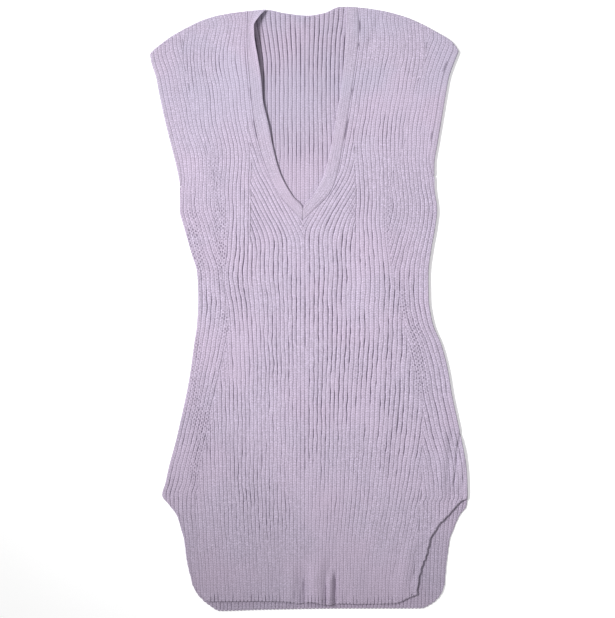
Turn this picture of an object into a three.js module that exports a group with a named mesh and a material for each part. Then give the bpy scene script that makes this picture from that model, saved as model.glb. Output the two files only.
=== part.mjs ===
// Sleeveless V-neck longline vest in chunky lilac rib knit, laid flat on its back panel.
// Millimetres. X runs across the garment, Y from the hem (-) to the neck (+), Z up from the surface it lies on.
// The back panel lies on the surface, the front panel lies on the back panel, and two narrow knitted bands
// (neckband, in two halves mitred at the point of the V, and one ring round each armhole) finish the edges.
import * as THREE from "three";
import { mergeVertices } from "three/addons/utils/BufferGeometryUtils.js";

// ---- driving sizes (mm)
const CLOTH = 2.8; // thickness of the rib knit
const GAP = 0.3; // clearance kept between two pieces at a seam
const LAYER = CLOTH + GAP; // height of the front layer's underside over the surface
const CENTRE_X = -7.6; // line of the centre front rib and the point of the V
const APEX_Y = 122.0; // lowest point of the neckband's outer seam
const V_POINT_Y = 138.5; // lowest point of the neck opening
const SKIRT_Y = -330.0; // below this line the rows bend to follow the hem
const SLIT_TOP_Y = -262.0; // top of both side slits
const UNDERARM_SHARE = { left: 0.2, right: 0.26 }; // lower end of each armhole, as a share of the way from the V's apex to the tip
const SHOULDER_TIP = { left: 350.5, right: 355.5 }; // upper end of each armhole
const ARMBAND = { left: 6.2, right: 8.4 }; // width of each armhole band
const ARMBAND_LOW_END = 1.8; // width it narrows to at the underarm
const ARMBAND_TAPER = 34; // length over which it narrows
const UNDERARM_RUN = 6.9; // below the band's end, the panel's edge comes back out to the side seam over this length
const EDGE_ROUND = 4.5; // how far in from an edge the cloth reaches its full thickness
const EDGE_DROP = 1.3; // how much thinner a rolled edge is, on its outer side
const UNDER_LIFT = 0.9; // how far the back's edge curls off the surface
const TURN_STEPS = 4; // faces round the turn at each end of an armhole band
const CENTRING = 0.39; // how far the outline's middle lies from the tables' zero along X

// ---- outline of the laid garment, from shoulder tip to hem corner
const SIDES = [
  { y: 355.8, left: -219.3, right: 207.6 },
  { y: 339.3, left: -216.6, right: 200.8 },
  { y: 317.3, left: -209.7, right: 193.2 },
  { y: 295.3, left: -205.6, right: 189.1 },
  { y: 262.3, left: -198.6, right: 183.6 },
  { y: 229.3, left: -190.4, right: 178.1 },
  { y: 196.3, left: -182.2, right: 173.2 },
  { y: 168.8, left: -177.4, right: 173.2 },
  { y: 135.8, left: -177.4, right: 176.9 },
  { y: 113.8, left: -171.9, right: 174.6 },
  { y: 80.8, left: -162.6, right: 168.8 },
  { y: 47.8, left: -153.3, right: 165.0 },
  { y: 14.8, left: -151.9, right: 165.4 },
  { y: -18.2, left: -153.3, right: 170.5 },
  { y: -51.2, left: -157.8, right: 183.4 },
  { y: -84.2, left: -162.2, right: 191.8 },
  { y: -117.2, left: -168.1, right: 197.3 },
  { y: -150.2, left: -175.3, right: 204.2 },
  { y: -183.2, left: -182.9, right: 211.2 },
  { y: -216.2, left: -191.8, right: 217.4 },
  { y: -240.0, left: -197.0, right: 218.8 },
  { y: -256.0, left: -201.4, right: 219.3 },
  { y: -271.2, left: -191.1, right: 218.4 },
  { y: -284.7, left: -181.3, right: 208.6 },
  { y: -298.7, left: -176.7, right: 202.1 },
  { y: -320.7, left: -171.2, right: 194.6 },
  { y: -350.2, left: -167.2, right: 190.6 },
  { y: -379.8, left: -159.5, right: 187.7 },
];

// The front's right-hand edge: it follows the side seam down to the slit, and then swings in further than the back's.
const FRONT_RIGHT = [
  { y: -150.2, right: 204.2 },
  { y: -183.2, right: 211.2 },
  { y: -216.2, right: 217.0 },
  { y: -240.0, right: 217.6 },
  { y: -254.0, right: 215.4 },
  { y: -264.3, right: 209.6 },
  { y: -272.0, right: 203.2 },
  { y: -281.4, right: 195.6 },
  { y: -298.7, right: 178.2 },
  { y: -317.7, right: 168.3 },
  { y: -343.0, right: 160.9 },
  { y: -362.0, right: 154.6 },
  { y: -381.0, right: 150.2 },
  { y: -392.2, right: 149.9 },
];

// Top edge: shoulder slopes, neck points and the shallow dip of the back neck.
const TOP_EDGE = [
  { x: -219.3, y: 350.5 },
  { x: -209.7, y: 358.5 },
  { x: -187.7, y: 375.0 },
  { x: -165.7, y: 387.4 },
  { x: -143.7, y: 397.7 },
  { x: -121.7, y: 403.9 },
  { x: -88.7, y: 408.8 },
  { x: -55.7, y: 411.5 },
  { x: -33.7, y: 407.3 },
  { x: -0.7, y: 403.9 },
  { x: 21.3, y: 407.3 },
  { x: 43.3, y: 415.8 },
  { x: 65.3, y: 414.9 },
  { x: 98.3, y: 410.6 },
  { x: 131.3, y: 402.1 },
  { x: 153.3, y: 392.9 },
  { x: 175.3, y: 381.2 },
  { x: 197.3, y: 367.5 },
  { x: 207.6, y: 355.5 },
];

const FRONT_HEM = [
  { x: -159.5, y: -379.8 },
  { x: -149.9, y: -395.2 },
  { x: -135.4, y: -402.6 },
  { x: -70.0, y: -402.4 },
  { x: -25.4, y: -403.8 },
  { x: -13.1, y: -406.6 },
  { x: 5.0, y: -403.4 },
  { x: 26.8, y: -407.6 },
  { x: 77.7, y: -407.3 },
  { x: 120.3, y: -406.0 },
  { x: 136.0, y: -398.6 },
  { x: 149.9, y: -392.2 },
];

const BACK_HEM = [
  { x: -159.5, y: -379.8 },
  { x: -149.9, y: -396.3 },
  { x: -138.0, y: -407.0 },
  { x: -121.7, y: -415.8 },
  { x: -66.7, y: -414.2 },
  { x: 43.3, y: -412.4 },
  { x: 154.7, y: -412.3 },
  { x: 168.0, y: -406.8 },
  { x: 182.9, y: -392.2 },
  { x: 187.7, y: -379.8 },
];

// Neckband: seam with the front, free edge, and how far the free edge stands above the seam, on each side.
const NECK = [
  { y: 411.0, seamL: -83.0, edgeL: -58.8, riseL: 2.0, edgeR: 52.4, seamR: 67.8, riseR: 0.5 },
  { y: 400.0, seamL: -83.6, edgeL: -69.4, riseL: 5.0, edgeR: 51.9, seamR: 68.9, riseR: 1.0 },
  { y: 388.0, seamL: -84.0, edgeL: -73.6, riseL: 6.5, edgeR: 51.5, seamR: 69.4, riseR: 1.2 },
  { y: 372.3, seamL: -84.3, edgeL: -73.2, riseL: 6.5, edgeR: 50.9, seamR: 68.8, riseR: 1.2 },
  { y: 346.2, seamL: -83.2, edgeL: -66.4, riseL: 5.0, edgeR: 49.2, seamR: 66.0, riseR: 1.2 },
  { y: 317.3, seamL: -80.7, edgeL: -63.2, riseL: 4.0, edgeR: 46.8, seamR: 61.6, riseR: 1.2 },
  { y: 287.0, seamL: -78.2, edgeL: -60.4, riseL: 3.2, edgeR: 42.4, seamR: 57.3, riseR: 1.0 },
  { y: 255.4, seamL: -74.1, edgeL: -55.4, riseL: 2.4, edgeR: 36.6, seamR: 52.4, riseR: 0.8 },
  { y: 215.5, seamL: -65.0, edgeL: -46.8, riseL: 1.6, edgeR: 29.6, seamR: 45.2, riseR: 0.6 },
  { y: 186.7, seamL: -54.6, edgeL: -37.0, riseL: 1.0, edgeR: 22.0, seamR: 39.8, riseR: 0.4 },
  { y: 170.2, seamL: -47.6, edgeL: -29.2, riseL: 0.6, edgeR: 14.8, seamR: 34.6, riseR: 0.3 },
  { y: 155.0, seamL: -38.6, edgeL: -19.4, riseL: 0.3, edgeR: 5.4, seamR: 26.0, riseR: 0.2 },
  { y: 138.5, seamL: -24.4, edgeL: -7.6, riseL: 0.0, edgeR: -7.6, seamR: 9.8, riseR: 0.0 },
  { y: 122.0, seamL: -7.6, edgeL: -7.6, riseL: 0.0, edgeR: -7.6, seamR: -7.6, riseR: 0.0 },
];

// Soft folds of the front layer: a ridge line (x0,y0)-(x1,y1), its height, half its width, and its run-out past each end.
const FOLDS = [
  { x0: -82, y0: 368, x1: -74, y1: 250, height: 3.6, half: 62, runOut: 46 },
  { x0: 64, y0: 366, x1: 48, y1: 240, height: 1.2, half: 50, runOut: 46 },
  { x0: 14, y0: -420, x1: 13, y1: -352, height: 6.2, half: 19, runOut: 56 },
  { x0: -24, y0: -420, x1: -22, y1: -372, height: 2.2, half: 15, runOut: 40 },
  { x0: 62, y0: -420, x1: 58, y1: -378, height: 1.6, half: 24, runOut: 40 },
  { x0: -96, y0: 96, x1: -104, y1: 20, height: 1.3, half: 46, runOut: 60 },
  { x0: 98, y0: 110, x1: 92, y1: 10, height: 1.3, half: 48, runOut: 60 },
  { x0: -20, y0: -150, x1: 30, y1: -250, height: 1.2, half: 70, runOut: 70 },
  { x0: 186, y0: -180, x1: 184, y1: -246, height: 1.8, half: 12, runOut: 26 },
  { x0: 140, y0: -330, x1: 128, y1: -384, height: 1.6, half: 16, runOut: 24 },
];

// Rows of the panels: in the top zone a row is a share of the way from the V's apex to the shoulder line,
// in the body a height, and in the skirt zone a share of the way from SKIRT_Y to the hem.
const TOP_SHARES = [1, 0.982, 0.93, 0.87, 0.79, 0.7, 0.61, 0.52, 0.43, 0.36, 0.31, 0.26, 0.23, 0.2, 0.17, 0.11, 0.05];
const BODY_ROWS = [
  122, 100, 76, 48, 20, -8, -36, -64, -92, -120, -148, -170, -188, -206, -224, -240, -254, -264, -276, -289, -303, -316,
  -330,
];
const SKIRT_SHARES = [0.25, 0.5, 0.72, 0.88, 0.955, 1];
const FRONT_COLUMNS = 11; // grid columns in each half of the front
const BACK_COLUMNS = 8; // and of the back, which has no folds

// ---- curves through the tables (monotone cubic, so no overshoot between rows)
const prepared = new Map();
function prepare(table, by) {
  const id = by;
  if (!prepared.has(table)) prepared.set(table, new Map());
  const store = prepared.get(table);
  if (!store.has(id)) store.set(id, [...table].sort((a, b) => a[by] - b[by]));
  return store.get(id);
}
function along(table, key, at, by = "y") {
  const rows = prepare(table, by);
  const n = rows.length;
  if (at <= rows[0][by]) return rows[0][key];
  if (at >= rows[n - 1][by]) return rows[n - 1][key];
  let i = 0;
  while (at > rows[i + 1][by]) i++;
  const span = (k) => rows[k + 1][by] - rows[k][by];
  const slope = (k) => (rows[k + 1][key] - rows[k][key]) / span(k);
  const tangent = (k) => {
    if (k === 0) return slope(0);
    if (k === n - 1) return slope(n - 2);
    const a = slope(k - 1),
      b = slope(k);
    if (a * b <= 0) return 0;
    const wa = 2 * span(k) + span(k - 1),
      wb = span(k) + 2 * span(k - 1);
    return (wa + wb) / (wa / a + wb / b);
  };
  const h = span(i),
    t = (at - rows[i][by]) / h;
  const t2 = t * t,
    t3 = t2 * t;
  return (
    (2 * t3 - 3 * t2 + 1) * rows[i][key] +
    (t3 - 2 * t2 + t) * h * tangent(i) +
    (-2 * t3 + 3 * t2) * rows[i + 1][key] +
    (t3 - t2) * h * tangent(i + 1)
  );
}
const mix = (a, b, t) => a + (b - a) * t;
const clamp01 = (t) => Math.min(1, Math.max(0, t));
const swell = (t) => (t >= 1 ? 0 : 0.5 + 0.5 * Math.cos(Math.PI * t)); // 1 at the ridge, 0 at its foot

// Height of the front layer's underside over its flat lie.
function foldLift(x, y) {
  let lift = 0;
  for (const f of FOLDS) {
    const dx = f.x1 - f.x0,
      dy = f.y1 - f.y0,
      run = Math.hypot(dx, dy);
    const s = ((x - f.x0) * dx + (y - f.y0) * dy) / run;
    const past = Math.max(0, -s, s - run);
    const off = Math.abs((x - f.x0) * dy - (y - f.y0) * dx) / run;
    lift += f.height * swell(off / f.half) * swell(past / f.runOut);
  }
  return lift;
}

// ---- where each edge runs
const underarmY = (side) => mix(APEX_Y, SHOULDER_TIP[side], UNDERARM_SHARE[side]);
const armBandWidth = (side, y) =>
  mix(ARMBAND_LOW_END, ARMBAND[side], Math.sin((clamp01((y - underarmY(side)) / ARMBAND_TAPER) * Math.PI) / 2));
const sign = { left: 1, right: -1 }; // inward along X
function panelSide(side, y, front) {
  let x = along(SIDES, side, y);
  if (front && side === "right" && y < FRONT_RIGHT[0].y) x = along(FRONT_RIGHT, "right", y);
  const above = y - underarmY(side) + UNDERARM_RUN;
  if (above > 0) x += sign[side] * (armBandWidth(side, y) + GAP) * clamp01(above / (UNDERARM_RUN - 0.5));
  return x;
}
const topLine = (x) => along(TOP_EDGE, "y", x, "x");

// ---- one panel: two half grids of rows and columns, joined down the centre line, with an upper and a lower face
function panel({ front, hem, cornerY, seam }) {
  const COLUMNS = front ? FRONT_COLUMNS : BACK_COLUMNS;
  const soup = [];
  const tri = (a, b, c) => soup.push(...a, ...b, ...c);
  const quad = (a, b, c, d) => {
    tri(a, b, c);
    tri(a, c, d);
  };
  const tipX = { left: 0, right: 0 };
  for (const side of ["left", "right"]) tipX[side] = panelSide(side, SHOULDER_TIP[side], front);
  const innerAt = (side, y) => (front && y > APEX_Y ? seam(side, y) : CENTRE_X);
  const hemLine = (x) => along(hem, "y", x, "x");
  const rows = [
    ...TOP_SHARES.map((q) => ({ zone: "top", q })),
    ...BODY_ROWS.map((y) => ({ zone: "body", y })),
    ...SKIRT_SHARES.map((q) => ({ zone: "skirt", q })),
  ];
  const place = (side, row, k) => {
    // k counts from the side edge (0) to the inner edge (COLUMNS)
    const outerTop = { x: tipX[side], y: topLine(tipX[side]) };
    const innerTopX = innerAt(side, topLine(innerAt(side, 409)));
    let yOuter, yInner;
    if (row.zone === "body") yOuter = yInner = row.y;
    else if (row.zone === "top") {
      yOuter = mix(APEX_Y, outerTop.y, row.q);
      yInner = mix(APEX_Y, topLine(innerTopX), row.q);
    } else {
      yOuter = mix(SKIRT_Y, cornerY[side], row.q);
      yInner = mix(SKIRT_Y, hemLine(CENTRE_X), row.q);
    }
    const xOuter = panelSide(side, yOuter, front);
    const xInner = innerAt(side, yInner);
    const share = (wide) => {
      if (k === 0) return 0;
      const first = EDGE_ROUND / Math.abs(wide);
      return mix(first, 1, (k - 1) / (COLUMNS - 1));
    };
    const x = mix(xOuter, xInner, share(xInner - xOuter));
    let y = yOuter;
    if (row.zone === "top") {
      const xt = mix(outerTop.x, innerTopX, share(innerTopX - outerTop.x));
      y = mix(APEX_Y, topLine(xt), row.q);
    } else if (row.zone === "skirt") {
      const xc = panelSide(side, cornerY[side], front);
      const xb = mix(xc, CENTRE_X, share(CENTRE_X - xc));
      y = mix(SKIRT_Y, hemLine(xb), row.q);
    }
    return { x, y };
  };
  const levels = (p, k, row) => {
    const atSide = k === 0,
      atTop = row === 0,
      atHem = row === rows.length - 1;
    const free = atHem || (atSide && p.y < SLIT_TOP_Y);
    if (front) {
      const low = LAYER + foldLift(p.x, p.y);
      const drop = atSide || atTop || atHem ? EDGE_DROP : 0;
      return { low, high: low + CLOTH - drop };
    }
    const lift = atSide || atTop || atHem ? (free ? UNDER_LIFT / 2 : UNDER_LIFT) : 0;
    return { low: lift, high: CLOTH - (free ? EDGE_DROP * 0.6 : 0) };
  };
  for (const side of ["left", "right"]) {
    const up = [],
      down = [];
    rows.forEach((row, r) => {
      up.push([]);
      down.push([]);
      for (let k = 0; k <= COLUMNS; k++) {
        const p = place(side, row, k);
        const z = levels(p, k, r);
        up[r].push([p.x, p.y, z.high]);
        down[r].push([p.x, p.y, z.low]);
      }
    });
    // a face seen from above runs counter-clockwise; the right half's columns count the other way
    const face = (a, b, c, d) => (side === "left" ? quad(a, b, c, d) : quad(d, c, b, a));
    for (let r = 0; r + 1 < rows.length; r++) {
      for (let k = 0; k < COLUMNS; k++) {
        face(up[r + 1][k], up[r + 1][k + 1], up[r][k + 1], up[r][k]);
        face(down[r][k], down[r][k + 1], down[r + 1][k + 1], down[r + 1][k]);
      }
      face(down[r + 1][0], up[r + 1][0], up[r][0], down[r][0]);
      const open = front && rows[r].zone === "top";
      if (open) face(down[r][COLUMNS], up[r][COLUMNS], up[r + 1][COLUMNS], down[r + 1][COLUMNS]);
    }
    const last = rows.length - 1;
    for (let k = 0; k < COLUMNS; k++) {
      face(down[0][k], up[0][k], up[0][k + 1], down[0][k + 1]);
      face(down[last][k + 1], up[last][k + 1], up[last][k], down[last][k]);
    }
  }
  return soupGeometry(soup);
}

function soupGeometry(soup) {
  const raw = new THREE.BufferGeometry().setAttribute("position", new THREE.Float32BufferAttribute(soup, 3));
  const merged = mergeVertices(raw, 1e-3);
  // faces whose corners have merged are dropped
  const kept = [];
  const index = merged.index.array;
  for (let i = 0; i < index.length; i += 3) {
    const [a, b, c] = [index[i], index[i + 1], index[i + 2]];
    if (a !== b && b !== c && c !== a) kept.push(a, b, c);
  }
  merged.setIndex(kept);
  merged.computeVertexNormals();
  return merged;
}

// ---- a bar through a list of sections, each a loop of points in the same order
function loft(sections, closed) {
  const soup = [];
  const n = sections[0].length;
  const quad = (a, b, c, d) => soup.push(...a, ...b, ...c, ...a, ...c, ...d);
  const count = sections.length;
  for (let s = 0; s < (closed ? count : count - 1); s++) {
    const A = sections[s],
      B = sections[(s + 1) % count];
    for (let i = 0; i < n; i++) {
      const j = (i + 1) % n;
      quad(A[i], A[j], B[j], B[i]);
    }
  }
  if (!closed) {
    const cap = (S, flip) => {
      for (let i = 1; i + 1 < n; i++) {
        const [a, b, c] = [S[0], S[i], S[i + 1]];
        soup.push(...(flip ? [...c, ...b, ...a] : [...a, ...b, ...c]));
      }
    };
    cap(sections[0], true);
    cap(sections[count - 1], false);
  }
  return soupGeometry(soup);
}

// ---- half of the neckband, from the shoulder to the mitre at the point of the V
function neckband(side) {
  const key = side === "left" ? "L" : "R";
  const inward = sign[side];
  const topEdgeX = along(NECK, "edge" + key, 411),
    topSeamX = along(NECK, "seam" + key, 411);
  const sections = [];
  const shares = [...TOP_SHARES, 0]; // the same rows as the front's, so that seam and edge keep their gap
  shares.forEach((q, s) => {
    const ySeam = Math.max(mix(APEX_Y, topLine(topSeamX), q), APEX_Y + 1.3 * GAP);
    const yEdge = mix(V_POINT_Y, topLine(topEdgeX), q);
    const clear = (GAP / 2) * 1.1;
    const atMitre = q === 0;
    const limit = CENTRE_X - inward * clear; // the two halves stop just short of the centre line
    const hold = (x) => (side === "left" ? Math.min(x, limit) : Math.max(x, limit));
    const xSeam = atMitre ? limit : hold(along(NECK, "seam" + key, ySeam));
    const xEdge = atMitre ? limit : hold(along(NECK, "edge" + key, yEdge));
    const rise = along(NECK, "rise" + key, yEdge);
    const base = LAYER + foldLift(xSeam, ySeam);
    const topEnd = s === 0 ? 0.9 : 0; // rolled at the shoulder end
    const at = (share, z) => [mix(xSeam, xEdge, share), mix(ySeam, yEdge, share), base + rise * share * share + z];
    sections.push([
      at(0, 0),
      at(0.5, 0),
      at(1, 0.5),
      at(1, CLOTH - 0.9 - topEnd / 2),
      at(0.62, CLOTH + 0.1 - topEnd),
      at(0, CLOTH - topEnd),
    ]);
  });
  return loft(side === "left" ? sections : sections.map((s) => [...s].reverse()), false);
}

// The front's own neck edge runs one gap outside the band's seam.
function frontNeckSeam(side, y) {
  const key = side === "left" ? "L" : "R";
  const step = 0.5;
  const slope =
    (along(NECK, "seam" + key, y + step) - along(NECK, "seam" + key, y - step)) / (2 * step);
  const away = GAP * Math.hypot(1, slope); // clearance measured square to the seam
  const x = along(NECK, "seam" + key, y);
  const out = side === "left" ? x - Math.min(away, 1.2) : x + Math.min(away, 1.2);
  return side === "left" ? Math.min(out, CENTRE_X) : Math.max(out, CENTRE_X);
}

// ---- a flat ring round one armhole: a front leg on a back leg, turned into each other at both ends
function armholeBand(side) {
  const inward = sign[side];
  const legs = [];
  const shares = TOP_SHARES.filter((q) => q >= UNDERARM_SHARE[side] - 1e-6 && q !== TOP_SHARES[1]).reverse();
  const yLow = underarmY(side) + LAYER + GAP;
  const xTip = along(SIDES, side, SHOULDER_TIP[side]);
  const xTipIn = xTip + inward * ARMBAND[side];
  for (const q of shares) {
    const yOut = Math.min(Math.max(yLow, mix(APEX_Y, topLine(xTip), q)), topLine(xTip) - LAYER);
    const yIn = Math.min(Math.max(yLow, mix(APEX_Y, topLine(xTipIn), q)), topLine(xTipIn) - LAYER);
    const xOut = along(SIDES, side, yOut);
    const xIn = along(SIDES, side, yIn) + inward * armBandWidth(side, yIn);
    legs.push({ out: [xOut, yOut], in: [xIn, yIn] });
  }
  const middle = CLOTH + GAP / 2;
  // one section: four corners, at an angle round the turn (0 on the front leg, PI on the back leg)
  const section = (leg, next, angle) => {
    const point = (end, far, drop) => {
      const dx = next ? next[end][0] - leg[end][0] : 0,
        dy = next ? next[end][1] - leg[end][1] : 0,
        run = Math.hypot(dx, dy) || 1;
      const reach = (far ? GAP / 2 + CLOTH - drop : GAP / 2) * Math.sin(angle);
      const z = middle + (far ? GAP / 2 + CLOTH - drop : GAP / 2) * Math.cos(angle);
      return [leg[end][0] + (dx / run) * reach, leg[end][1] + (dy / run) * reach, z];
    };
    return [point("in", false, 0), point("out", false, 0), point("out", true, 1.0), point("in", true, 0)];
  };
  const sections = [];
  const n = legs.length - 1;
  const beyond = (from, to) => ({ in: legs[to].in.map((v, i) => 2 * v - legs[from].in[i]), out: legs[to].out.map((v, i) => 2 * v - legs[from].out[i]) });
  for (let s = 0; s <= n; s++) sections.push(section(legs[s], null, 0));
  for (let a = 1; a < TURN_STEPS; a++) sections.push(section(legs[n], beyond(n - 1, n), (a * Math.PI) / TURN_STEPS));
  for (let s = n; s >= 0; s--) sections.push(section(legs[s], null, Math.PI));
  for (let a = TURN_STEPS - 1; a > 0; a--) sections.push(section(legs[0], beyond(1, 0), (a * Math.PI) / TURN_STEPS));
  return loft(side === "left" ? sections : sections.map((s) => [...s].reverse()), true);
}

// ---- assembly
const yarn = (color, roughness) => new THREE.MeshStandardMaterial({ color, roughness, metalness: 0 });
const ribKnit = yarn(0xc5b7cf, 0.92);
const backKnit = yarn(0xbdb1c8, 0.92);
const bandKnit = yarn(0xcbbfd5, 0.9);

const vest = new THREE.Group();
vest.position.x = -CENTRING; // the origin is the middle of the garment's footprint
function add(name, geometry, material) {
  const mesh = new THREE.Mesh(geometry, material.clone());
  mesh.name = name;
  vest.add(mesh);
}
add(
  "back_panel",
  panel({ front: false, hem: BACK_HEM, cornerY: { left: -379.8, right: -379.8 }, seam: null }),
  backKnit,
);
add(
  "front_panel",
  panel({ front: true, hem: FRONT_HEM, cornerY: { left: -379.8, right: -392.2 }, seam: frontNeckSeam }),
  ribKnit,
);
add("neckband_left", neckband("left"), bandKnit);
add("neckband_right", neckband("right"), bandKnit);
add("armhole_band_left", armholeBand("left"), bandKnit);
add("armhole_band_right", armholeBand("right"), bandKnit);

export default vest;
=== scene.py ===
import math

import bpy
import numpy as np
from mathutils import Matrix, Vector


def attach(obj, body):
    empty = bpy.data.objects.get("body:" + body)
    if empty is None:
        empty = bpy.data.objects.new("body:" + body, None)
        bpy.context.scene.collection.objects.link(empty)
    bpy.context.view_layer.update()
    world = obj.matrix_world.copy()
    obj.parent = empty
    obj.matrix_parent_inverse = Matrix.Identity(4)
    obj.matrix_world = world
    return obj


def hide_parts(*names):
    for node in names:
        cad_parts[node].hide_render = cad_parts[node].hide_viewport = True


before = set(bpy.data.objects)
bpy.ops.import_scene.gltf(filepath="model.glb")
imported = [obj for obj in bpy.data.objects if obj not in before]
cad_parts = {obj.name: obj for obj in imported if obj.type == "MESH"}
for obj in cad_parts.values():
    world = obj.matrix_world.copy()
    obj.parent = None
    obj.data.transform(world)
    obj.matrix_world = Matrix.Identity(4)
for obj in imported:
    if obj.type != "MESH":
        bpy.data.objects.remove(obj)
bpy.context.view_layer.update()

# A sleeveless V-neck longline vest in chunky lilac rib knit, laid flat. Every size in the tables is in
# millimetres in the garment's own frame: X across, Y from hem to neck, Z up from the surface.
MM = 0.001
CENTRING = 0.39
CLOTH = 2.8
GAP = 0.3
LAYER = CLOTH + GAP
CENTRE_X = -7.6
APEX_Y = 122.0
V_POINT_Y = 138.5
SKIRT_Y = -330.0
SLIT_TOP_Y = -262.0
UNDERARM_SHARE = {"left": 0.2, "right": 0.26}
SHOULDER_TIP = {"left": 350.5, "right": 355.5}
ARMBAND = {"left": 6.2, "right": 8.4}
ARMBAND_LOW_END = 1.8
ARMBAND_TAPER = 34.0
UNDERARM_STEP = (-1.4, 0.0)  # heights between which the panels step in beside the armhole band's lower end
COURSE = 3.3  # height of one row of stitches
ROW_STEP = 4.3  # spacing of the mesh's rows
INNER_WALES = 12.5  # wales between the centre line and the inner fashioning line, below the V


def table(names, rows):
    keys = names.split()
    return [dict(zip(keys, row)) for row in rows]


SIDES = table("y left right", [
    (355.8, -219.3, 207.6), (339.3, -216.6, 200.8), (317.3, -209.7, 193.2), (295.3, -205.6, 189.1),
    (262.3, -198.6, 183.6), (229.3, -190.4, 178.1), (196.3, -182.2, 173.2), (168.8, -177.4, 173.2),
    (135.8, -177.4, 176.9), (113.8, -171.9, 174.6), (80.8, -162.6, 168.8), (47.8, -153.3, 165.0),
    (14.8, -151.9, 165.4), (-18.2, -153.3, 170.5), (-51.2, -157.8, 183.4), (-84.2, -162.2, 191.8),
    (-117.2, -168.1, 197.3), (-150.2, -175.3, 204.2), (-183.2, -182.9, 211.2), (-216.2, -191.8, 217.4),
    (-240.0, -197.0, 218.8), (-256.0, -201.4, 219.3), (-271.2, -191.1, 218.4), (-284.7, -181.3, 208.6),
    (-298.7, -176.7, 202.1), (-320.7, -171.2, 194.6), (-350.2, -167.2, 190.6), (-379.8, -159.5, 187.7),
])
FRONT_RIGHT = table("y right", [
    (-150.2, 204.2), (-183.2, 211.2), (-216.2, 217.0), (-240.0, 218.5), (-256.0, 218.6), (-262.6, 217.0), (-265.2, 210.2), (-272.0, 203.2),
    (-281.4, 195.6), (-298.7, 178.2), (-317.7, 168.3), (-343.0, 160.9), (-362.0, 154.6), (-381.0, 150.2), (-392.2, 149.9),
])
TOP_EDGE = table("x y", [
    (-219.3, 350.5), (-209.7, 358.5), (-187.7, 375.0), (-165.7, 387.4), (-143.7, 397.7), (-121.7, 403.9),
    (-88.7, 408.8), (-55.7, 411.5), (-33.7, 407.3), (-0.7, 403.9), (21.3, 407.3), (43.3, 415.8),
    (65.3, 414.9), (98.3, 410.6), (131.3, 402.1), (153.3, 392.9), (175.3, 381.2), (197.3, 367.5),
    (207.6, 355.5),
])
FRONT_HEM = table("x y", [
    (-159.5, -379.8), (-149.9, -395.2), (-135.4, -402.2), (-70.0, -401.8), (-25.4, -403.0), (-13.1, -405.4),
    (5.0, -402.6), (26.8, -406.0), (50.0, -405.0), (77.7, -405.6), (120.3, -404.6), (136.0, -398.0), (149.9, -392.2),
])
BACK_HEM = table("x y", [
    (-159.5, -379.8), (-149.9, -396.3), (-138.0, -407.0), (-121.7, -415.8), (-66.7, -414.2), (43.3, -412.4),
    (154.7, -412.3), (168.0, -406.8), (182.9, -392.2), (187.7, -379.8),
])
NECK = table("y seamL edgeL riseL edgeR seamR riseR", [
    (411.0, -83.0, -58.8, 2.0, 52.4, 67.8, 0.5),
    (400.0, -83.6, -68.4, 5.0, 51.9, 68.9, 1.0),
    (388.0, -84.0, -74.8, 6.5, 51.5, 69.4, 0.4),
    (372.3, -84.3, -74.2, 6.5, 50.9, 68.8, 0.4),
    (346.2, -83.2, -69.8, 3.4, 49.2, 66.0, 0.2),
    (317.3, -80.7, -65.2, 1.9, 46.8, 61.6, 0.1),
    (287.0, -78.2, -62.6, 1.3, 42.4, 57.3, 0.1),
    (255.4, -74.1, -55.4, 1.1, 36.6, 52.4, 0.1),
    (215.5, -65.0, -47.4, 0.9, 29.6, 45.2, 0.1),
    (186.7, -54.6, -39.0, 1.0, 22.0, 39.8, 0.4),
    (170.2, -47.6, -31.0, 0.6, 14.8, 34.6, 0.3),
    (155.0, -38.6, -21.4, 0.3, 5.4, 26.0, 0.2),
    (138.5, -24.4, -7.6, 0.0, -7.6, 9.8, 0.0),
    (122.0, -7.6, -7.6, 0.0, -7.6, -7.6, 0.0),
])
# ridges of the front layer: line (x0,y0)-(x1,y1), height, half its width, run-out past each end
FOLDS = table("x0 y0 x1 y1 height half run_out", [
    (-84, 372, -80, 322, 3.4, 62, 60), (-76, 270, -70, 240, 1.0, 50, 40),
    (56, 366, 40, 240, 1.0, 50, 46),
    (14, -420, 13, -374, 6.2, 19, 46),
    (-24, -420, -22, -372, 2.2, 15, 40),
    (62, -420, 58, -378, 1.6, 24, 40),
    (-96, 96, -104, 20, 1.3, 46, 60),
    (98, 110, 92, 10, 1.3, 48, 60),
    (-20, -150, 30, -250, 1.2, 70, 70),
    (186, -180, 184, -246, 1.8, 12, 26),
    (140, -330, 128, -384, 1.6, 16, 24),
])
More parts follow.
